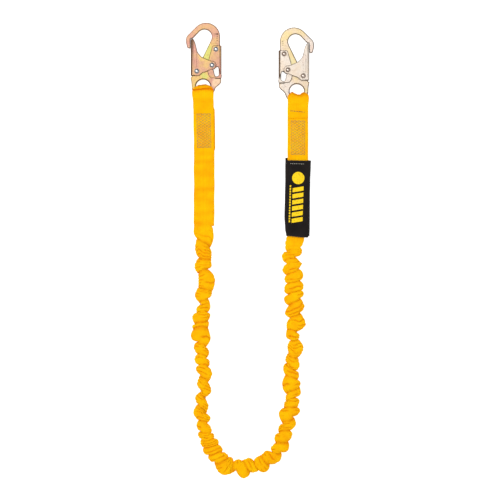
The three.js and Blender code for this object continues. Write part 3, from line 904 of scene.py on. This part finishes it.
def tail(leg, shift):
    """The webbing's folded-back end, under the jacket, cut with a hot knife."""
    start, end, step = 6.6 * MM, 80 * MM, 1.6 * MM
    sides = 32
    count = round((end - start) / step)
    points, values, places = [], [], []
    for i in range(count + 1):
        distance = lerp(start, end, i / count)
        centre, _, out, rise = STRAP.frame(leg_place(leg, distance))
        closing = 1 - 0.06 * smoothstep(distance, end - 4 * MM, end)
        opening = 0.93 + 0.07 * smoothstep(distance, start, start + 5 * MM)
        places.append(distance)
        for turn in round_turns(sides):
            across = bulge(math.cos(turn), 0.6)
            wave = noise.noise(Vector((distance * 60, across, 2))) * 0.3 * MM
            half = FLAT_HALF * closing * opening
            lift = 1.1 * MM * bulge(math.sin(turn), 0.6) - 5.5 * MM
            point = centre + out * (half * across + shift) + rise * (lift + wave * (1 - abs(across)))
            point.z = max(point.z, 0.0003)
            points.append(point)
            values.append(FLAT_TONE + 0.45 * smoothstep(distance, end - 2 * MM, end))
    made = add_tube(f"webbing_tail.{leg}", points, sides, TAIL_GIRTH, places, YELLOW, values)
    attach(made, "strap")
    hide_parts(f"{leg}_webbing_tail")


# ---------- stitches ----------

THREAD = 0.36 * MM


class Threads:
    """Many short stitches in one mesh."""

    def __init__(self):
        self.points, self.faces = [], []

    def add(self, start, end, radius, up, sides=6, rings=5):
        """One stitch, sunk at both ends and humped in the middle."""
        first = len(self.points)
        along = end - start
        across = along.cross(up).normalized()
        rise = across.cross(along).normalized()
        if rise.dot(up) < 0:
            rise = -rise
        for i in range(rings):
            share = i / (rings - 1)
            hump = math.sin(math.pi * share)
            middle = start + along * share + up * (radius * 1.1 * (hump - 0.6))
            size = radius * (0.55 + 0.45 * hump)
            for turn in round_turns(sides):
                out, lift = across * (size * math.cos(turn)), rise * (size * math.sin(turn))
                self.points.append(middle + out + lift)
        self.faces += [tuple(first + index for index in face) for face in tube_faces(rings, sides)]

    def finish(self, name, material, body, node_name, slot):
        made = add_mesh(name, self.points, self.faces, material)
        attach(made, body)
        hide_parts(node_name)
        return made


def on_jacket(leg, distance, across):
    """A point on the jacket's face and the way up from it; across is in metres from its middle."""
    place = leg_place(leg, distance)
    centre, _, out, rise = STRAP.frame(place)
    side = 1 if leg == "right" else -1
    share = min(abs(across) / FLAT_HALF, 1.0)
    height = FLAT_THICK * (1 - share**4.5) ** 0.35
    return centre + out * (across * side) + rise * (height + 0.15 * MM), rise


def box_stitch(leg, start):
    """A boxed diamond lattice: zigzag rows between two borders, in tan thread."""
    threads = Threads()
    width, length = 23.8 * MM, 58 * MM
    columns, rows = 7, 25
    pitch, step = width / columns, length / rows

    def sew(a, b):
        (from_point, up), (to_point, _) = on_jacket(leg, *a), on_jacket(leg, *b)
        threads.add(from_point, to_point, THREAD, up)

    for row in range(rows):
        near, far = start + row * step, start + (row + 1) * step
        for column in range(columns):
            x = -width / 2 + column * pitch
            lean = (row + column) % 2
            sew((near, x + pitch * lean), (far, x + pitch * (1 - lean)))
        for edge in (-width / 2, width / 2):
            sew((near + 0.1 * step, edge), (far - 0.1 * step, edge))
    for column in range(columns * 2):
        x = -width / 2 + column * pitch / 2
        for end in (start, start + length, start + 1.6 * MM, start + length - 1.6 * MM):
            sew((end, x + 0.1 * pitch), (end, x + 0.4 * pitch))
    threads.finish(f"box_stitch.{leg}", STITCH_THREAD, "strap", f"{leg}_box_stitch", "dark_thread")


def bar_tack():
    """A short row of dark stitches across the right sewn end."""
    threads = Threads()
    count, width = 9, 25.5 * MM
    for i in range(count):
        x = -width / 2 + width * i / count
        slope = 0.1 * x
        start, up = on_jacket("right", 5.6 * MM + slope, x)
        end, _ = on_jacket("right", 5.9 * MM + slope, x + 0.72 * width / count)
        lift = up * 1.5 * MM
        threads.add(start + lift, end + lift, 0.75 * MM, up)
    threads.finish("bar_tack", DARK_TACK, "strap", "right_bar_tack", "dark_thread")


# ---------- label cover ----------

COVER_LOW, COVER_HIGH = 19.6 * MM, 153.6 * MM
COVER_MIDDLE = Vector((81.0, 0, 9.0)) * MM
COVER_THICK = 6.3 * MM
COVER_WALL = 1.1 * MM
COVER_GIRTH = 112 * MM

# The cover's left and right edges at seven heights from its lower edge to its upper one, in mm.
COVER_EDGES = (
    (0, -19.6, 20.2),
    (14, -21.4, 20.6),
    (36, -22.6, 20.8),
    (68, -21.8, 20.9),
    (96, -21.2, 21.4),
    (120, -21.2, 22.4),
    (134, -21.0, 22.8),
)


def cover_edges(up):
    """The two edges of the cover, this far up from its lower end."""
    rows = COVER_EDGES
    for (low, left_low, right_low), (high, left_high, right_high) in zip(rows, rows[1:]):
        if up <= high * MM or high == rows[-1][0]:
            share = smoothstep(up, low * MM, high * MM)
            return lerp(left_low, left_high, share) * MM, lerp(right_low, right_high, share) * MM


def cover_face(up, across):
    """Height of the cover's front above its middle: flat, rounded down at both edges, gently creased."""
    flat = (1 - min(abs(across), 1.0) ** 5) ** 0.4
    soft = noise.noise(Vector((across * 1.6, up * 22, 5))) * 0.7
    fold = -0.9 * math.exp(-(((across - 0.72) / 0.09) ** 2)) * (1 - smoothstep(up, 10 * MM, 30 * MM))
    pleat = 0.5 * math.exp(-(((across + 0.78 - 2 * up) / 0.08) ** 2))
    return COVER_THICK * flat + (soft + fold + pleat) * MM * flat


def cover_shift(up, across, front):
    """How far the cloth stands above its even height: the front stops short of the back at the top."""
    top = (-3.1 - 0.4 * across if front else -0.5 - 2.4 * across) * smoothstep(up, 124 * MM, 134 * MM)
    slanted = 2.6 * (1 - smoothstep(across, -1, 0.6)) + 2.4 * smoothstep(across, 0.85, 0.92)
    return (top + slanted * (1 - smoothstep(up, 0, 22 * MM))) * MM


def cover_point(up, angle, inset):
    left, right = cover_edges(up)
    middle, half = (left + right) / 2, (right - left) / 2
    across = bulge(math.cos(angle), 0.5)
    if math.sin(angle) >= 0:
        face = cover_face(up, across)
    else:
        face = -COVER_THICK * (1 - abs(across) ** 5) ** 0.4
    x = middle + (half - inset) * across
    y = COVER_LOW + up + cover_shift(up, across, math.sin(angle) > 0)
    z = face * (1 - inset / COVER_THICK)
    return Vector((COVER_MIDDLE.x + x, y, COVER_MIDDLE.z + z))


def label_cover():
    """Cloth wrapped round the strap: an outer and an inner skin joined at both open ends."""
    sides, count = 72, 66
    length = COVER_HIGH - COVER_LOW
    ups = [length * i / count for i in range(count + 1)]
    rings = [(up, 0.0) for up in ups] + [(up, COVER_WALL) for up in reversed(ups)]
    points, values = [], []
    for up, inset in rings:
        for turn in round_turns(sides):
            points.append(cover_point(up, turn, inset))
            # Paler at the hems and along the folded sides.
            hem = max(1 - min(up, length - up) / (1.6 * MM), 0)
            side = smoothstep(abs(math.cos(turn)), 0.985, 1.0)
            values.append(min(0.6 * hem + 0.5 * side, 1) if inset == 0 else 0)
    faces = tube_faces(len(rings), sides, closed_ends=False)
    last = (len(rings) - 1) * sides
    faces += [(last + j, last + (j + 1) % sides, (j + 1) % sides, j) for j in range(sides)]
    places = [up if inset == 0 else 2 * length - up for up, inset in rings]
    uvs = tube_uvs(len(rings), sides, COVER_GIRTH, places, closed_ends=False)
    uvs += [((COVER_GIRTH * j / sides, 0), (COVER_GIRTH * (j + 1) / sides, 0)) * 2 for j in range(sides)]
    made = add_mesh("cover", points, faces, BLACK, uvs, values)
    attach(made, "strap")
    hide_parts("label_cover")
    return made


def cover_layer(name, half_width, bottom, thickness, low, high, material):
    """A flat strip under the webbing, as long as the cover: slightly wavy, with soft edges."""
    sides, step = 36, 2.5 * MM
    count = round((high - low) / step)
    points, places = [], []
    for i in range(count + 1):
        up = lerp(low, high, i / count)
        places.append(up)
        for turn in round_turns(sides):
            across = bulge(math.cos(turn), 0.4)
            edge = noise.noise(Vector((up * 70, 3 * math.copysign(1, across), bottom * 900))) * 0.5 * MM
            wave = noise.noise(Vector((up * 45, across * 1.5, bottom * 900))) * 0.08 * MM
            lift = thickness / 2 * (1 + 0.9 * bulge(math.sin(turn), 0.4)) + max(wave, 0)
            points.append((COVER_MIDDLE.x + (half_width + edge) * across, COVER_LOW + up, bottom + lift))
    made = add_tube(f"{name}.soft", points, sides, 4 * half_width, places, material)
    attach(made, "strap")
    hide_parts(name)


def on_cover(across, up, lift):
    """A point just above the cover's front; across is from its middle, in metres."""
    left, right = cover_edges(up)
    middle, half = (left + right) / 2, (right - left) / 2
    share = (across - middle) / half
    height = COVER_MIDDLE.z + cover_face(up, share) + lift
    return Vector((COVER_MIDDLE.x + across, COVER_LOW + up + cover_shift(up, share, True), height))


def inked(patches, name):
    """Flat printed shapes on the cover. Each patch is four corners (across, up) in mm, walked round."""
    points, faces = [], []
    for corners in patches:
        (ax, ay), (bx, by), (cx, cy), (dx, dy) = corners
        steps = max(2, round(max(math.hypot(bx - ax, by - ay), math.hypot(dx - ax, dy - ay)) / 2))
        first = len(points)
        for i in range(steps + 1):
            for j in range(steps + 1):
                s, t = i / steps, j / steps
                x = lerp(lerp(ax, bx, s), lerp(dx, cx, s), t)
                y = lerp(lerp(ay, by, s), lerp(dy, cy, s), t)
                points.append(on_cover(x * MM, y * MM, 0.16 * MM))
        for i in range(steps):
            for j in range(steps):
                a = first + i * (steps + 1) + j
                faces.append((a, a + steps + 1, a + steps + 2, a + 1))
    made = add_mesh(name, points, faces, INK)
    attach(made, "strap")
    return made


def cover_print():
    """A generic print, leaning a little: a plain disc, a band of slanted bars and a narrow ladder."""
    lean, middle = math.radians(1.8), 70
    disc_up, disc_radius = 101, 10.5
    slope, drop = math.cos(lean), math.sin(lean)

    def leaning(*corners):
        return tuple(
            (x * slope + (y - middle) * drop, middle + (y - middle) * slope - x * drop) for x, y in corners
        )

    bars = []
    for i in range(6):
        y = 24.4 + 10.4 * i
        bars.append(leaning((-9, y), (9.5, y + 3.6), (9.5, y + 10.8), (-9, y + 7.2)))
    for i in range(14):
        y = 25.4 + 4.6 * i
        bars.append(leaning((-14, y), (-11.6, y), (-11.6, y + 3.2), (-14, y + 3.2)))
    for turn in round_turns(24):
        a, b = turn, turn + math.pi / 12
        rim = [(disc_radius * math.cos(c), disc_up + disc_radius * math.sin(c)) for c in (a, b)]
        core = [(0.2 * math.cos(c), disc_up + 0.2 * math.sin(c)) for c in (b, a)]
        bars.append(leaning(*rim, *core))
    return inked(bars, "cover_print")


def cover_stitches():
    """The pale row that closes the cover's upper hem."""
    threads = Threads()
    count = 8
    for i in range(count):
        x = lerp(-12.5, 11.5, i / count)
        start = on_cover(x * MM, (125.4 - 0.05 * x) * MM, 0.2 * MM)
        end = on_cover((x + 1.9) * MM, (125.3 - 0.05 * x) * MM, 0.2 * MM)
        threads.add(start, end, 0.42 * MM, UP)
    threads.finish("cover_stitches", PALE_THREAD, "strap", "cover_stitch_row", "pale_thread")


# ---------- snap hooks ----------

# Dimensions of the hook in mm, in its own frame: +Y toward the bowl, +X toward the spine.
HOOK_HEIGHT = 9.8
LEFT_HOOK = (-79.2, 259.8)
RIGHT_HOOK = (79.2, 251.8)
EYE = (-0.4, 16)
EYE_RADIUS = 12.3
BODY_HALF = 4.2
LEVER_HALF = 6.0
GATE_HALF = 8.0
SHEET = 1.5
GATE_PIVOT = (-11.2, 42.3)
LEVER_PIVOT = (21.3, 79.7)
LATCH_PIN = (14.8, 52.5)
GATE_BACK = -21.4
LEVER_BACK = 30.7
BODY_RIM = 1.3
SHEET_RIM = 0.55


def arc(x, y, radius, start, end):
    """Points along an arc from one angle to another in degrees, clockwise where the angle falls."""
    steps = max(6, round(abs(end - start) / 5))
    turns = [math.radians(lerp(start, end, i / steps)) for i in range(steps + 1)]
    return [(x + radius * math.cos(turn), y + radius * math.sin(turn)) for turn in turns]


def part_way(a, b, distance):
    size = math.dist(a, b)
    share = distance / size if size else 0
    return (lerp(a[0], b[0], share), lerp(a[1], b[1], share))


def outline(*pieces):
    """A closed outline. A piece is an arc's list of points, or a corner: x, y and maybe a round.

    The round is how far along the corner's two sides it reaches.
    """
    runs = [piece if isinstance(piece, list) else [piece[:2]] for piece in pieces]
    line = []
    for i, piece in enumerate(pieces):
        rounded = 0.0 if isinstance(piece, list) else sum(piece[2:])
        if not rounded:
            line += runs[i]
            continue
        point = runs[i][0]
        start = part_way(point, runs[i - 1][-1], rounded)
        end = part_way(point, runs[(i + 1) % len(runs)][0], rounded)
        steps = 6
        for k in range(steps + 1):
            t = k / steps
            line.append(
                tuple(
                    (1 - t) ** 2 * a + 2 * t * (1 - t) * b + t * t * c
                    for a, b, c in zip(start, point, end)
                )
            )
    clean = [point for i, point in enumerate(line) if math.dist(point, line[i - 1]) > 0.02]
    area = sum(a[0] * b[1] - b[0] * a[1] for a, b in zip(clean, clean[1:] + clean[:1]))
    return clean if area > 0 else clean[::-1]


def disc(x, y, radius):
    return outline(arc(x, y, radius, 0, 350))


def rectangle(low_x, low_y, high_x, high_y, rounded=0.0):
    return outline(
        (low_x, low_y, rounded),
        (high_x, low_y, rounded),
        (high_x, high_y, rounded),
        (low_x, high_y, rounded),
    )


def normals(line):
    """The way out of the outline at each of its points; into the gap for a hole walked clockwise."""
    found = []
    for i in range(len(line)):
        before, after = line[i - 1], line[(i + 1) % len(line)]
        x, y = after[0] - before[0], after[1] - before[1]
        size = math.hypot(x, y) or 1.0
        found.append((y / size, -x / size))
    return found


def inset(line, distance):
    """The outline moved in by this distance; a hole walked clockwise opens out."""
    ways = normals(line)
    return [(x - distance * out_x, y - distance * out_y) for (x, y), (out_x, out_y) in zip(line, ways)]


def evenly(x, y, out_x, out_y):
    """An edge shade: every edge as dark as the next."""
    return 1.0


def unshaded(x, y):
    """A face shade: no part of the face is darkened."""
    return 0.0


class Metal:
    """Plates and turned parts gathered into one mesh, with how much painted shade each of its points
    takes.
    """

    def __init__(self, place):
        self.place = place
        self.points, self.faces, self.values, self.flat = [], [], [], []

    def ring(self, line, z, values):
        first = len(self.points)
        self.points += [self.place(x, y, z) for x, y in line]
        self.values += values
        return list(range(first, len(self.points)))

    def join(self, low, high):
        count = len(low)
        for i in range(count):
            j = (i + 1) % count
            self.faces.append((low[i], low[j], high[j], high[i]))

    def cap(self, rings, lines, upward):
        flat = [Vector((x, y, 0)) for line in lines for x, y in line]
        names = [index for ring in rings for index in ring]
        loops = [[Vector((x, y, 0)) for x, y in line] for line in lines]
        for a, b, c in tessellate_polygon(loops):
            turn = (flat[b] - flat[a]).cross(flat[c] - flat[a]).z
            if (turn > 0) != upward:
                b, c = c, b
            self.flat.append(len(self.faces))
            self.faces.append((names[a], names[b], names[c]))

    def rim(self, line, low, high, size, dark, band, edge_shade, face_shade):
        """One outline's wall and rounded rims. Gives the inner rings on the lower and upper face."""
        steps = 4
        turns = [math.pi / 2 * k / steps for k in range(steps + 1)]
        layers = [(size * (1 - math.sin(turn)), low + size * (1 - math.cos(turn))) for turn in turns]
        layers += [(size * (1 - math.cos(turn)), high - size * (1 - math.sin(turn))) for turn in turns]
        edges = [dark * edge_shade(x, y, *out) for (x, y), out in zip(line, normals(line))]
        within = inset(line, size + band)
        faces = [face_shade(x, y) for x, y in within]
        rings = [self.ring(within, low, faces)]
        rings += [self.ring(inset(line, shift), z, edges) for shift, z in layers]
        rings.append(self.ring(within, high, faces))
        for a, b in zip(rings, rings[1:]):
            self.join(a, b)
        return rings[0], rings[-1], within

    def plate(
        self,
        outside,
        holes,
        low,
        high,
        size,
        dark=0.9,
        band=0.9,
        edge_shade=evenly,
        face_shade=unshaded,
        pockets=(),
    ):
        """An outline with holes, each (outline, rim size), from one height to another."""
        tops, bottoms, lines = [], [], []
        for line, rim_size in [(outside, size)] + [(hole[::-1], hole_rim) for hole, hole_rim in holes]:
            bottom, top, within = self.rim(line, low, high, rim_size, dark, band, edge_shade, face_shade)
            bottoms.append(bottom)
            tops.append(top)
            lines.append(within)
        self.cap(bottoms, lines, False)
        for pit, depth in pockets:
            lip_line = pit[::-1]
            floor_line = inset(lip_line, -0.25)
            # Painted shade in the pit: half at its lip, full at its floor.
            lip = self.ring(lip_line, high, [0.5] * len(pit))
            bottom = self.ring(floor_line, high - depth, [1.0] * len(pit))
            self.join(bottom, lip)
            self.cap([bottom], [floor_line], True)
            tops.append(lip)
            lines.append(lip_line)
        self.cap(tops, lines, True)

    def turned(self, x, y, profile, up, sides=32):
        """A turned head on the Z axis at x, y: rows of radius, height and darkness."""
        rings = []
        turns = round_turns(sides)
        for radius, height, dark in profile:
            line = [(x + radius * math.cos(turn), y + radius * math.sin(turn)) for turn in turns]
            rings.append(self.ring(line, height * up, [dark] * sides))
        for a, b in zip(rings, rings[1:]):
            if up > 0:
                self.join(a, b)
            else:
                self.join(b, a)
        last = rings[-1] if up > 0 else rings[-1][::-1]
        self.faces.append(tuple(last))

    def finish(self, name, material, body, node_name, slot):
        made = add_mesh(name, self.points, self.faces, material, values=self.values)
        for index in self.flat:
            made.data.polygons[index].use_smooth = False
        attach(made, body)
        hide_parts(node_name)
        return made


BODY_EDGE = outline(
    (-27.2, 81.2, 2.8),
    (-29.9, 92, 4.2),
    (-29.2, 101, 4.2),
    arc(4.5, 101, 23.8, 138, 0),
    (28.3, 77, 1.5),
    (24.4, 53.6, 1),
    (18.6, 55.8, 2.6),
    (11.2, 56, 2.6),
    (12.4, 38.6, 3),
    (18.8, 32.6, 1),
    (20.9, 32.6, 0.8),
    (20.4, 30.8, 0.6),
    (30.2, 30.2, 1.4),
    (30.4, 22.4, 4.2),
    (19.8, 13.4, 3),
    arc(0, 15.8, 20, -15, -172),
    (-20.3, 24, 3),
    (-22, 31.6, 1.2),
    (-19, 33.6, 0.8),
    (-18.9, 43, 4),
    (-5.5, 56.5, 3),
    arc(1.8, 100.6, 12.6, -24, 139),
    (-18.2, 97.9, 0.6),
    (-21.9, 97.7, 0.5),
    (-21.9, 81.2, 1.4),
)
GATE_EDGE = outline(
    (GATE_BACK + 1.6, 97, 0.8),
    (-17.2, 97, 0.8),
    (-14, 91.3, 3.4),
    (-12.1, 83.5, 4),
    (-10.2, 74.5, 4),
    (-3, 66.2, 4),
    (7.4, 61.8, 3),
    arc(*LATCH_PIN, 7.1, 100, -98),
    (6.4, 42, 4),
    (-1.6, 39.6, 3),
    (-7.2, 34.4, 3),
    (GATE_BACK + 1.6, 34.4, 0.4),
)
LEVER_EDGE = outline(
    (15.6, 85.9, 3),
    (LEVER_BACK - 1.8, 85.9, 0.4),
    (LEVER_BACK - 1.8, 40, 3),
    (31.4, 36, 2.4),
    (30.4, 29.9, 2.4),
    (12, 30.9, 3),
    (8, 36.5, 3),
    (7.2, 43, 3),
    (8.4, 61.5, 8),
)
LEVER_SLOT = outline(
    arc(*LATCH_PIN, 3.1, 36, 216),
    (17.9, 43, 1),
    (17.9, 40, 1.4),
    (20.6, 32.8, 2.2),
    (26.2, 34.6, 2.4),
    (27.4, 42, 3),
    (24.6, 50.6, 1.6),
    (21.4, 48.7, 0.8),
)


def folded_back(back, half, toward):
    """Section of the folded back of a sheet part, as (x, z): two short flanges and rounded bends."""
    inner = back + SHEET * toward
    tip = back + 4.5 * toward
    return outline(
        (tip, half),
        (back, half, 2.0),
        (back, -half, 2.0),
        (tip, -half),
        (tip, SHEET - half),
        (inner, SHEET - half, 0.8),
        (inner, half - SHEET, 0.8),
        (tip, half - SHEET),
    )


# Where each bar stamped in the spine starts, and how much shorter it is than the longest.
STAMPED_BARS = ((94, 0), (97.2, 0.5), (100.4, 0))

# A rivet's head from its shaft to the top of its dome: radius, height over its seat, how much painted
# shade (dark in its groove and round its rim).
RIVET_HEAD = (
    (2.5, 0.2, 0.9),
    (4.2, 0.3, 1.0),
    (4.35, 0.5, 1.0),
    (4.15, 0.9, 0.9),
    (3.7, 1.05, 0.45),
    (3.3, 0.95, 0.95),
    (3.0, 0.75, 1.0),
    (2.65, 0.7, 1.0),
    (2.35, 0.95, 0.6),
    (1.7, 1.35, 0.0),
    (0.8, 1.56, 0.0),
    (0.2, 1.62, 0.0),
)


class Hook:
    """One snap hook. Its own frame is turned over about Y where turn is -1."""

    def __init__(self, side, x, y, turn, plated, sheet, rivet, slot):
        self.side, self.origin, self.turn = side, Vector((x, y, HOOK_HEIGHT)), turn
        self.plated, self.sheet, self.rivet_look, self.slot = plated, sheet, rivet, slot

    def place(self, x, y, z):
        return (self.origin + Vector((x * self.turn, y, z * self.turn))) * MM

    def place_section(self, x, z, y):
        return self.place(x, y, z)

    def body(self):
        metal = Metal(self.place)
        eye = (disc(*EYE, EYE_RADIUS), 1.7)
        pockets = [(disc(23.6, 105.5, 1.2), 0.5)] if self.turn > 0 else []
        outer = 0.5 if self.turn > 0 else 0.75

        def edge_shade(x, y, out_x, out_y):
            if math.dist((x, y), EYE) < EYE_RADIUS + 0.7:
                return 0.75
            under_the_nose = -24 < x < -18 and y > 78
            return 0.15 if under_the_nose else outer

        metal.plate(
            BODY_EDGE, [eye], -BODY_HALF, BODY_HALF, BODY_RIM, 1.0, 0.5, edge_shade, pockets=pockets
        )
        self.stamps(metal)
        body = f"{self.side}_hook"
        metal.finish(f"hook_body.{self.side}", self.plated, body, f"{body}_body", self.slot)

    def stamps(self, metal):
        """Small plain bars struck into the spine's upper face, and a row of dots by the lever's top."""
        face = BODY_HALF * self.turn
        bars = [rectangle(22.4, y, 24.6 - short, y + 1.3, 0.4) for y, short in STAMPED_BARS]
        dots = [disc(14.5 + 2.4 * i, 88.6 + 0.25 * i * (4 - i), 0.45) for i in range(5)]
        for mark in bars + dots:
            metal.plate(mark, [], face - 0.06, face + 0.06, 0.05, 1.0, 0.05, face_shade=lambda x, y: 0.8)

    def folded(self, name, edge, holes, back, half, toward, span, body, ribs=()):
        """A folded sheet part: two cheeks and a rounded back. The bend nearer -X gets a broad band of
        painted shade.
        """
        metal = Metal(self.place)
        broad = toward * self.turn > 0
        seam = back + 1.7 * toward

        def edge_shade(x, y, out_x, out_y):
            if abs(x - seam) < 0.25:
                return 1.0 if broad else 0.0
            # Painted shade on the edges, lighter where they face -Y, as if lit from there.
            return 1 - 0.75 * max(-out_y, 0) if self.turn > 0 else 0.9

        def face_shade(x, y):
            return 0.75 * smoothstep(y, 88, 95) if name == "gate" and self.turn > 0 else 0.0

        def bend_shade(x, z, out_x, out_z):
            reach = 2.6 if broad else 0.6
            return 1 - smoothstep(abs(x - back), reach, reach + 0.7)

        for face in (-1, 1):
            low, high = sorted(((half + 0.03) * face, (half - SHEET) * face))
            metal.plate(edge, holes, low, high, SHEET_RIM, 1.0, 0.8, edge_shade, face_shade)
            for rib in ribs:
                low, high = sorted(((half + 0.5) * face, (half - 0.4) * face))
                # Painted shade along the rib's edges.
                metal.plate(rib, [], low, high, 0.42, 0.22 if self.turn > 0 else 0.35, 0.2)
        metal.place = self.place_section
        metal.plate(folded_back(back, half, toward), [], *span, 0.3, 1.0, 0.1, bend_shade)
        metal.finish(f"{name}.{self.side}", self.sheet, body, f"{self.side}_{name}", self.slot)

    def gate(self):
        rib = rectangle(-16, 48.5, -11, 78, 2.2)
        body = f"{self.side}_gate_assembly"
        self.folded("gate", GATE_EDGE, [], GATE_BACK, GATE_HALF, 1, (34.6, 96.6), body, [rib])

    def lever(self):
        body = f"{self.side}_lock"
        holes = [(LEVER_SLOT, SHEET_RIM)]
        self.folded("lock_lever", LEVER_EDGE, holes, LEVER_BACK, LEVER_HALF, -1, (32.3, 85.6), body)

    def rivet(self, name, at, seat, body):
        """A shaft between two heads, each a raised rim round a shallow dish with a domed middle."""
        metal = Metal(self.place)
        profile = [(2.5, 0, 0.9)] + [(radius, seat + rise, dark) for radius, rise, dark in RIVET_HEAD]
        for up in (1, -1):
            metal.turned(*at, profile, up)
        metal.finish(f"{name}.{self.side}", self.rivet_look, body, f"{self.side}_{name}", "bright_steel")

    def spring(self, name, at, body, radius, start, legs, low, rise=1.2, turns=2.2, wire=0.35):
        """A torsion spring round a pivot: its coils, then a straight leg off each end."""
        count = round(turns * 20)
        line = []
        for i in range(count + 1):
            angle = math.radians(start + 360 * turns * i / count)
            height = low + rise * i / count
            line.append(Vector((radius * math.cos(angle), radius * math.sin(angle), height)))
        first, last = (line[0] - line[1]).normalized(), (line[-1] - line[-2]).normalized()
        line = [line[0] + first * legs[0], *line, line[-1] + last * legs[1]]
        sides, points = 10, []
        for i, middle in enumerate(line):
            ahead = (line[min(i + 1, len(line) - 1)] - line[max(i - 1, 0)]).normalized()
            across = ahead.cross(UP).normalized()
            up = across.cross(ahead)
            for turn in round_turns(sides):
                point = middle + across * (wire * math.cos(turn)) + up * (wire * math.sin(turn))
                points.append(self.place(point.x + at[0], point.y + at[1], point.z))
        made = add_mesh(f"{name}.{self.side}", points, tube_faces(len(line), sides), SPRING)
        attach(made, body)
        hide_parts(f"{self.side}_{name}")

    def build(self):
        side = self.side
        self.body()
        self.gate()
        self.lever()
        self.rivet("gate_pivot_rivet", GATE_PIVOT, GATE_HALF, f"{side}_hook")
        self.rivet("lever_pivot_rivet", LEVER_PIVOT, LEVER_HALF, f"{side}_hook")
        self.rivet("latch_rivet", LATCH_PIN, GATE_HALF, f"{side}_gate_assembly")
        self.spring("gate_spring", GATE_PIVOT, f"{side}_gate_assembly", 4.4, 180, (12, 5), 4.85)
        self.spring("lever_spring", LEVER_PIVOT, f"{side}_lock", 4.0, 40, (5.5, 3), 2.6)


# ---------- build ----------

add_camera()
add_world()
add_area_light("key", (-0.9, 0.9, 2.2), 2.2, 29)
add_area_light("fill", (1.3, -0.5, 2.0), 1.6, 5)

floor = add_mesh(
    "floor",
    [(-3, -3, -0.0004), (3, -3, -0.0004), (3, 3, -0.0004), (-3, 3, -0.0004)],
    [(0, 1, 2, 3)],
    floor_material(),
)
bpy.context.scene.view_settings.view_transform = "Standard"

outer_jacket()
inner_run("core", "shock_absorbing_core", 3.4 * MM, 1.2 * MM, 0, CORE_YARN)
inner_run("elastic.outer", "elastic_band_outer", 0.9 * MM, 0.9 * MM, 4.6 * MM, RUBBER)
inner_run("elastic.inner", "elastic_band_inner", 0.9 * MM, 0.9 * MM, -4.6 * MM, RUBBER)
sewn_end("left", ROUTE[0], (LEFT_HOOK[0] + EYE[0]) * MM, -0.9 * MM, LEFT_PLY, level_ear)
sewn_end("right", ROUTE[-1], (RIGHT_HOOK[0] - EYE[0]) * MM, 0.6 * MM, RIGHT_PLY, valley_ear)
tail("left", -1.4 * MM)
tail("right", 0)
box_stitch("left", 17 * MM)
box_stitch("right", 21 * MM)
bar_tack()
Hook("left", *LEFT_HOOK, 1, LEFT_PLATED, LEFT_SHEET, BRIGHT, "chromate_steel").build()
Hook("right", *RIGHT_HOOK, -1, RIGHT_PLATED, RIGHT_SHEET, PLATED_RIVET, "pale_chromate_steel").build()
cover = label_cover()
whole = COVER_HIGH - COVER_LOW
cover_layer("cover_overlap", 12 * MM, 0, 0.5 * MM, 0, whole, BLACK)
cover_layer("cover_hook_strip", 9 * MM, 0.7 * MM, 0.5 * MM, 0, whole, BLACK)
cover_layer("cover_loop_strip", 9 * MM, 1.4 * MM, 0.5 * MM, 0, whole, BLACK)
cover_layer("label_pack", 15 * MM, 3.9 * MM, 0.7 * MM, 11 * MM, whole - 11 * MM, LABEL)
ink = cover_print()
cover_stitches()
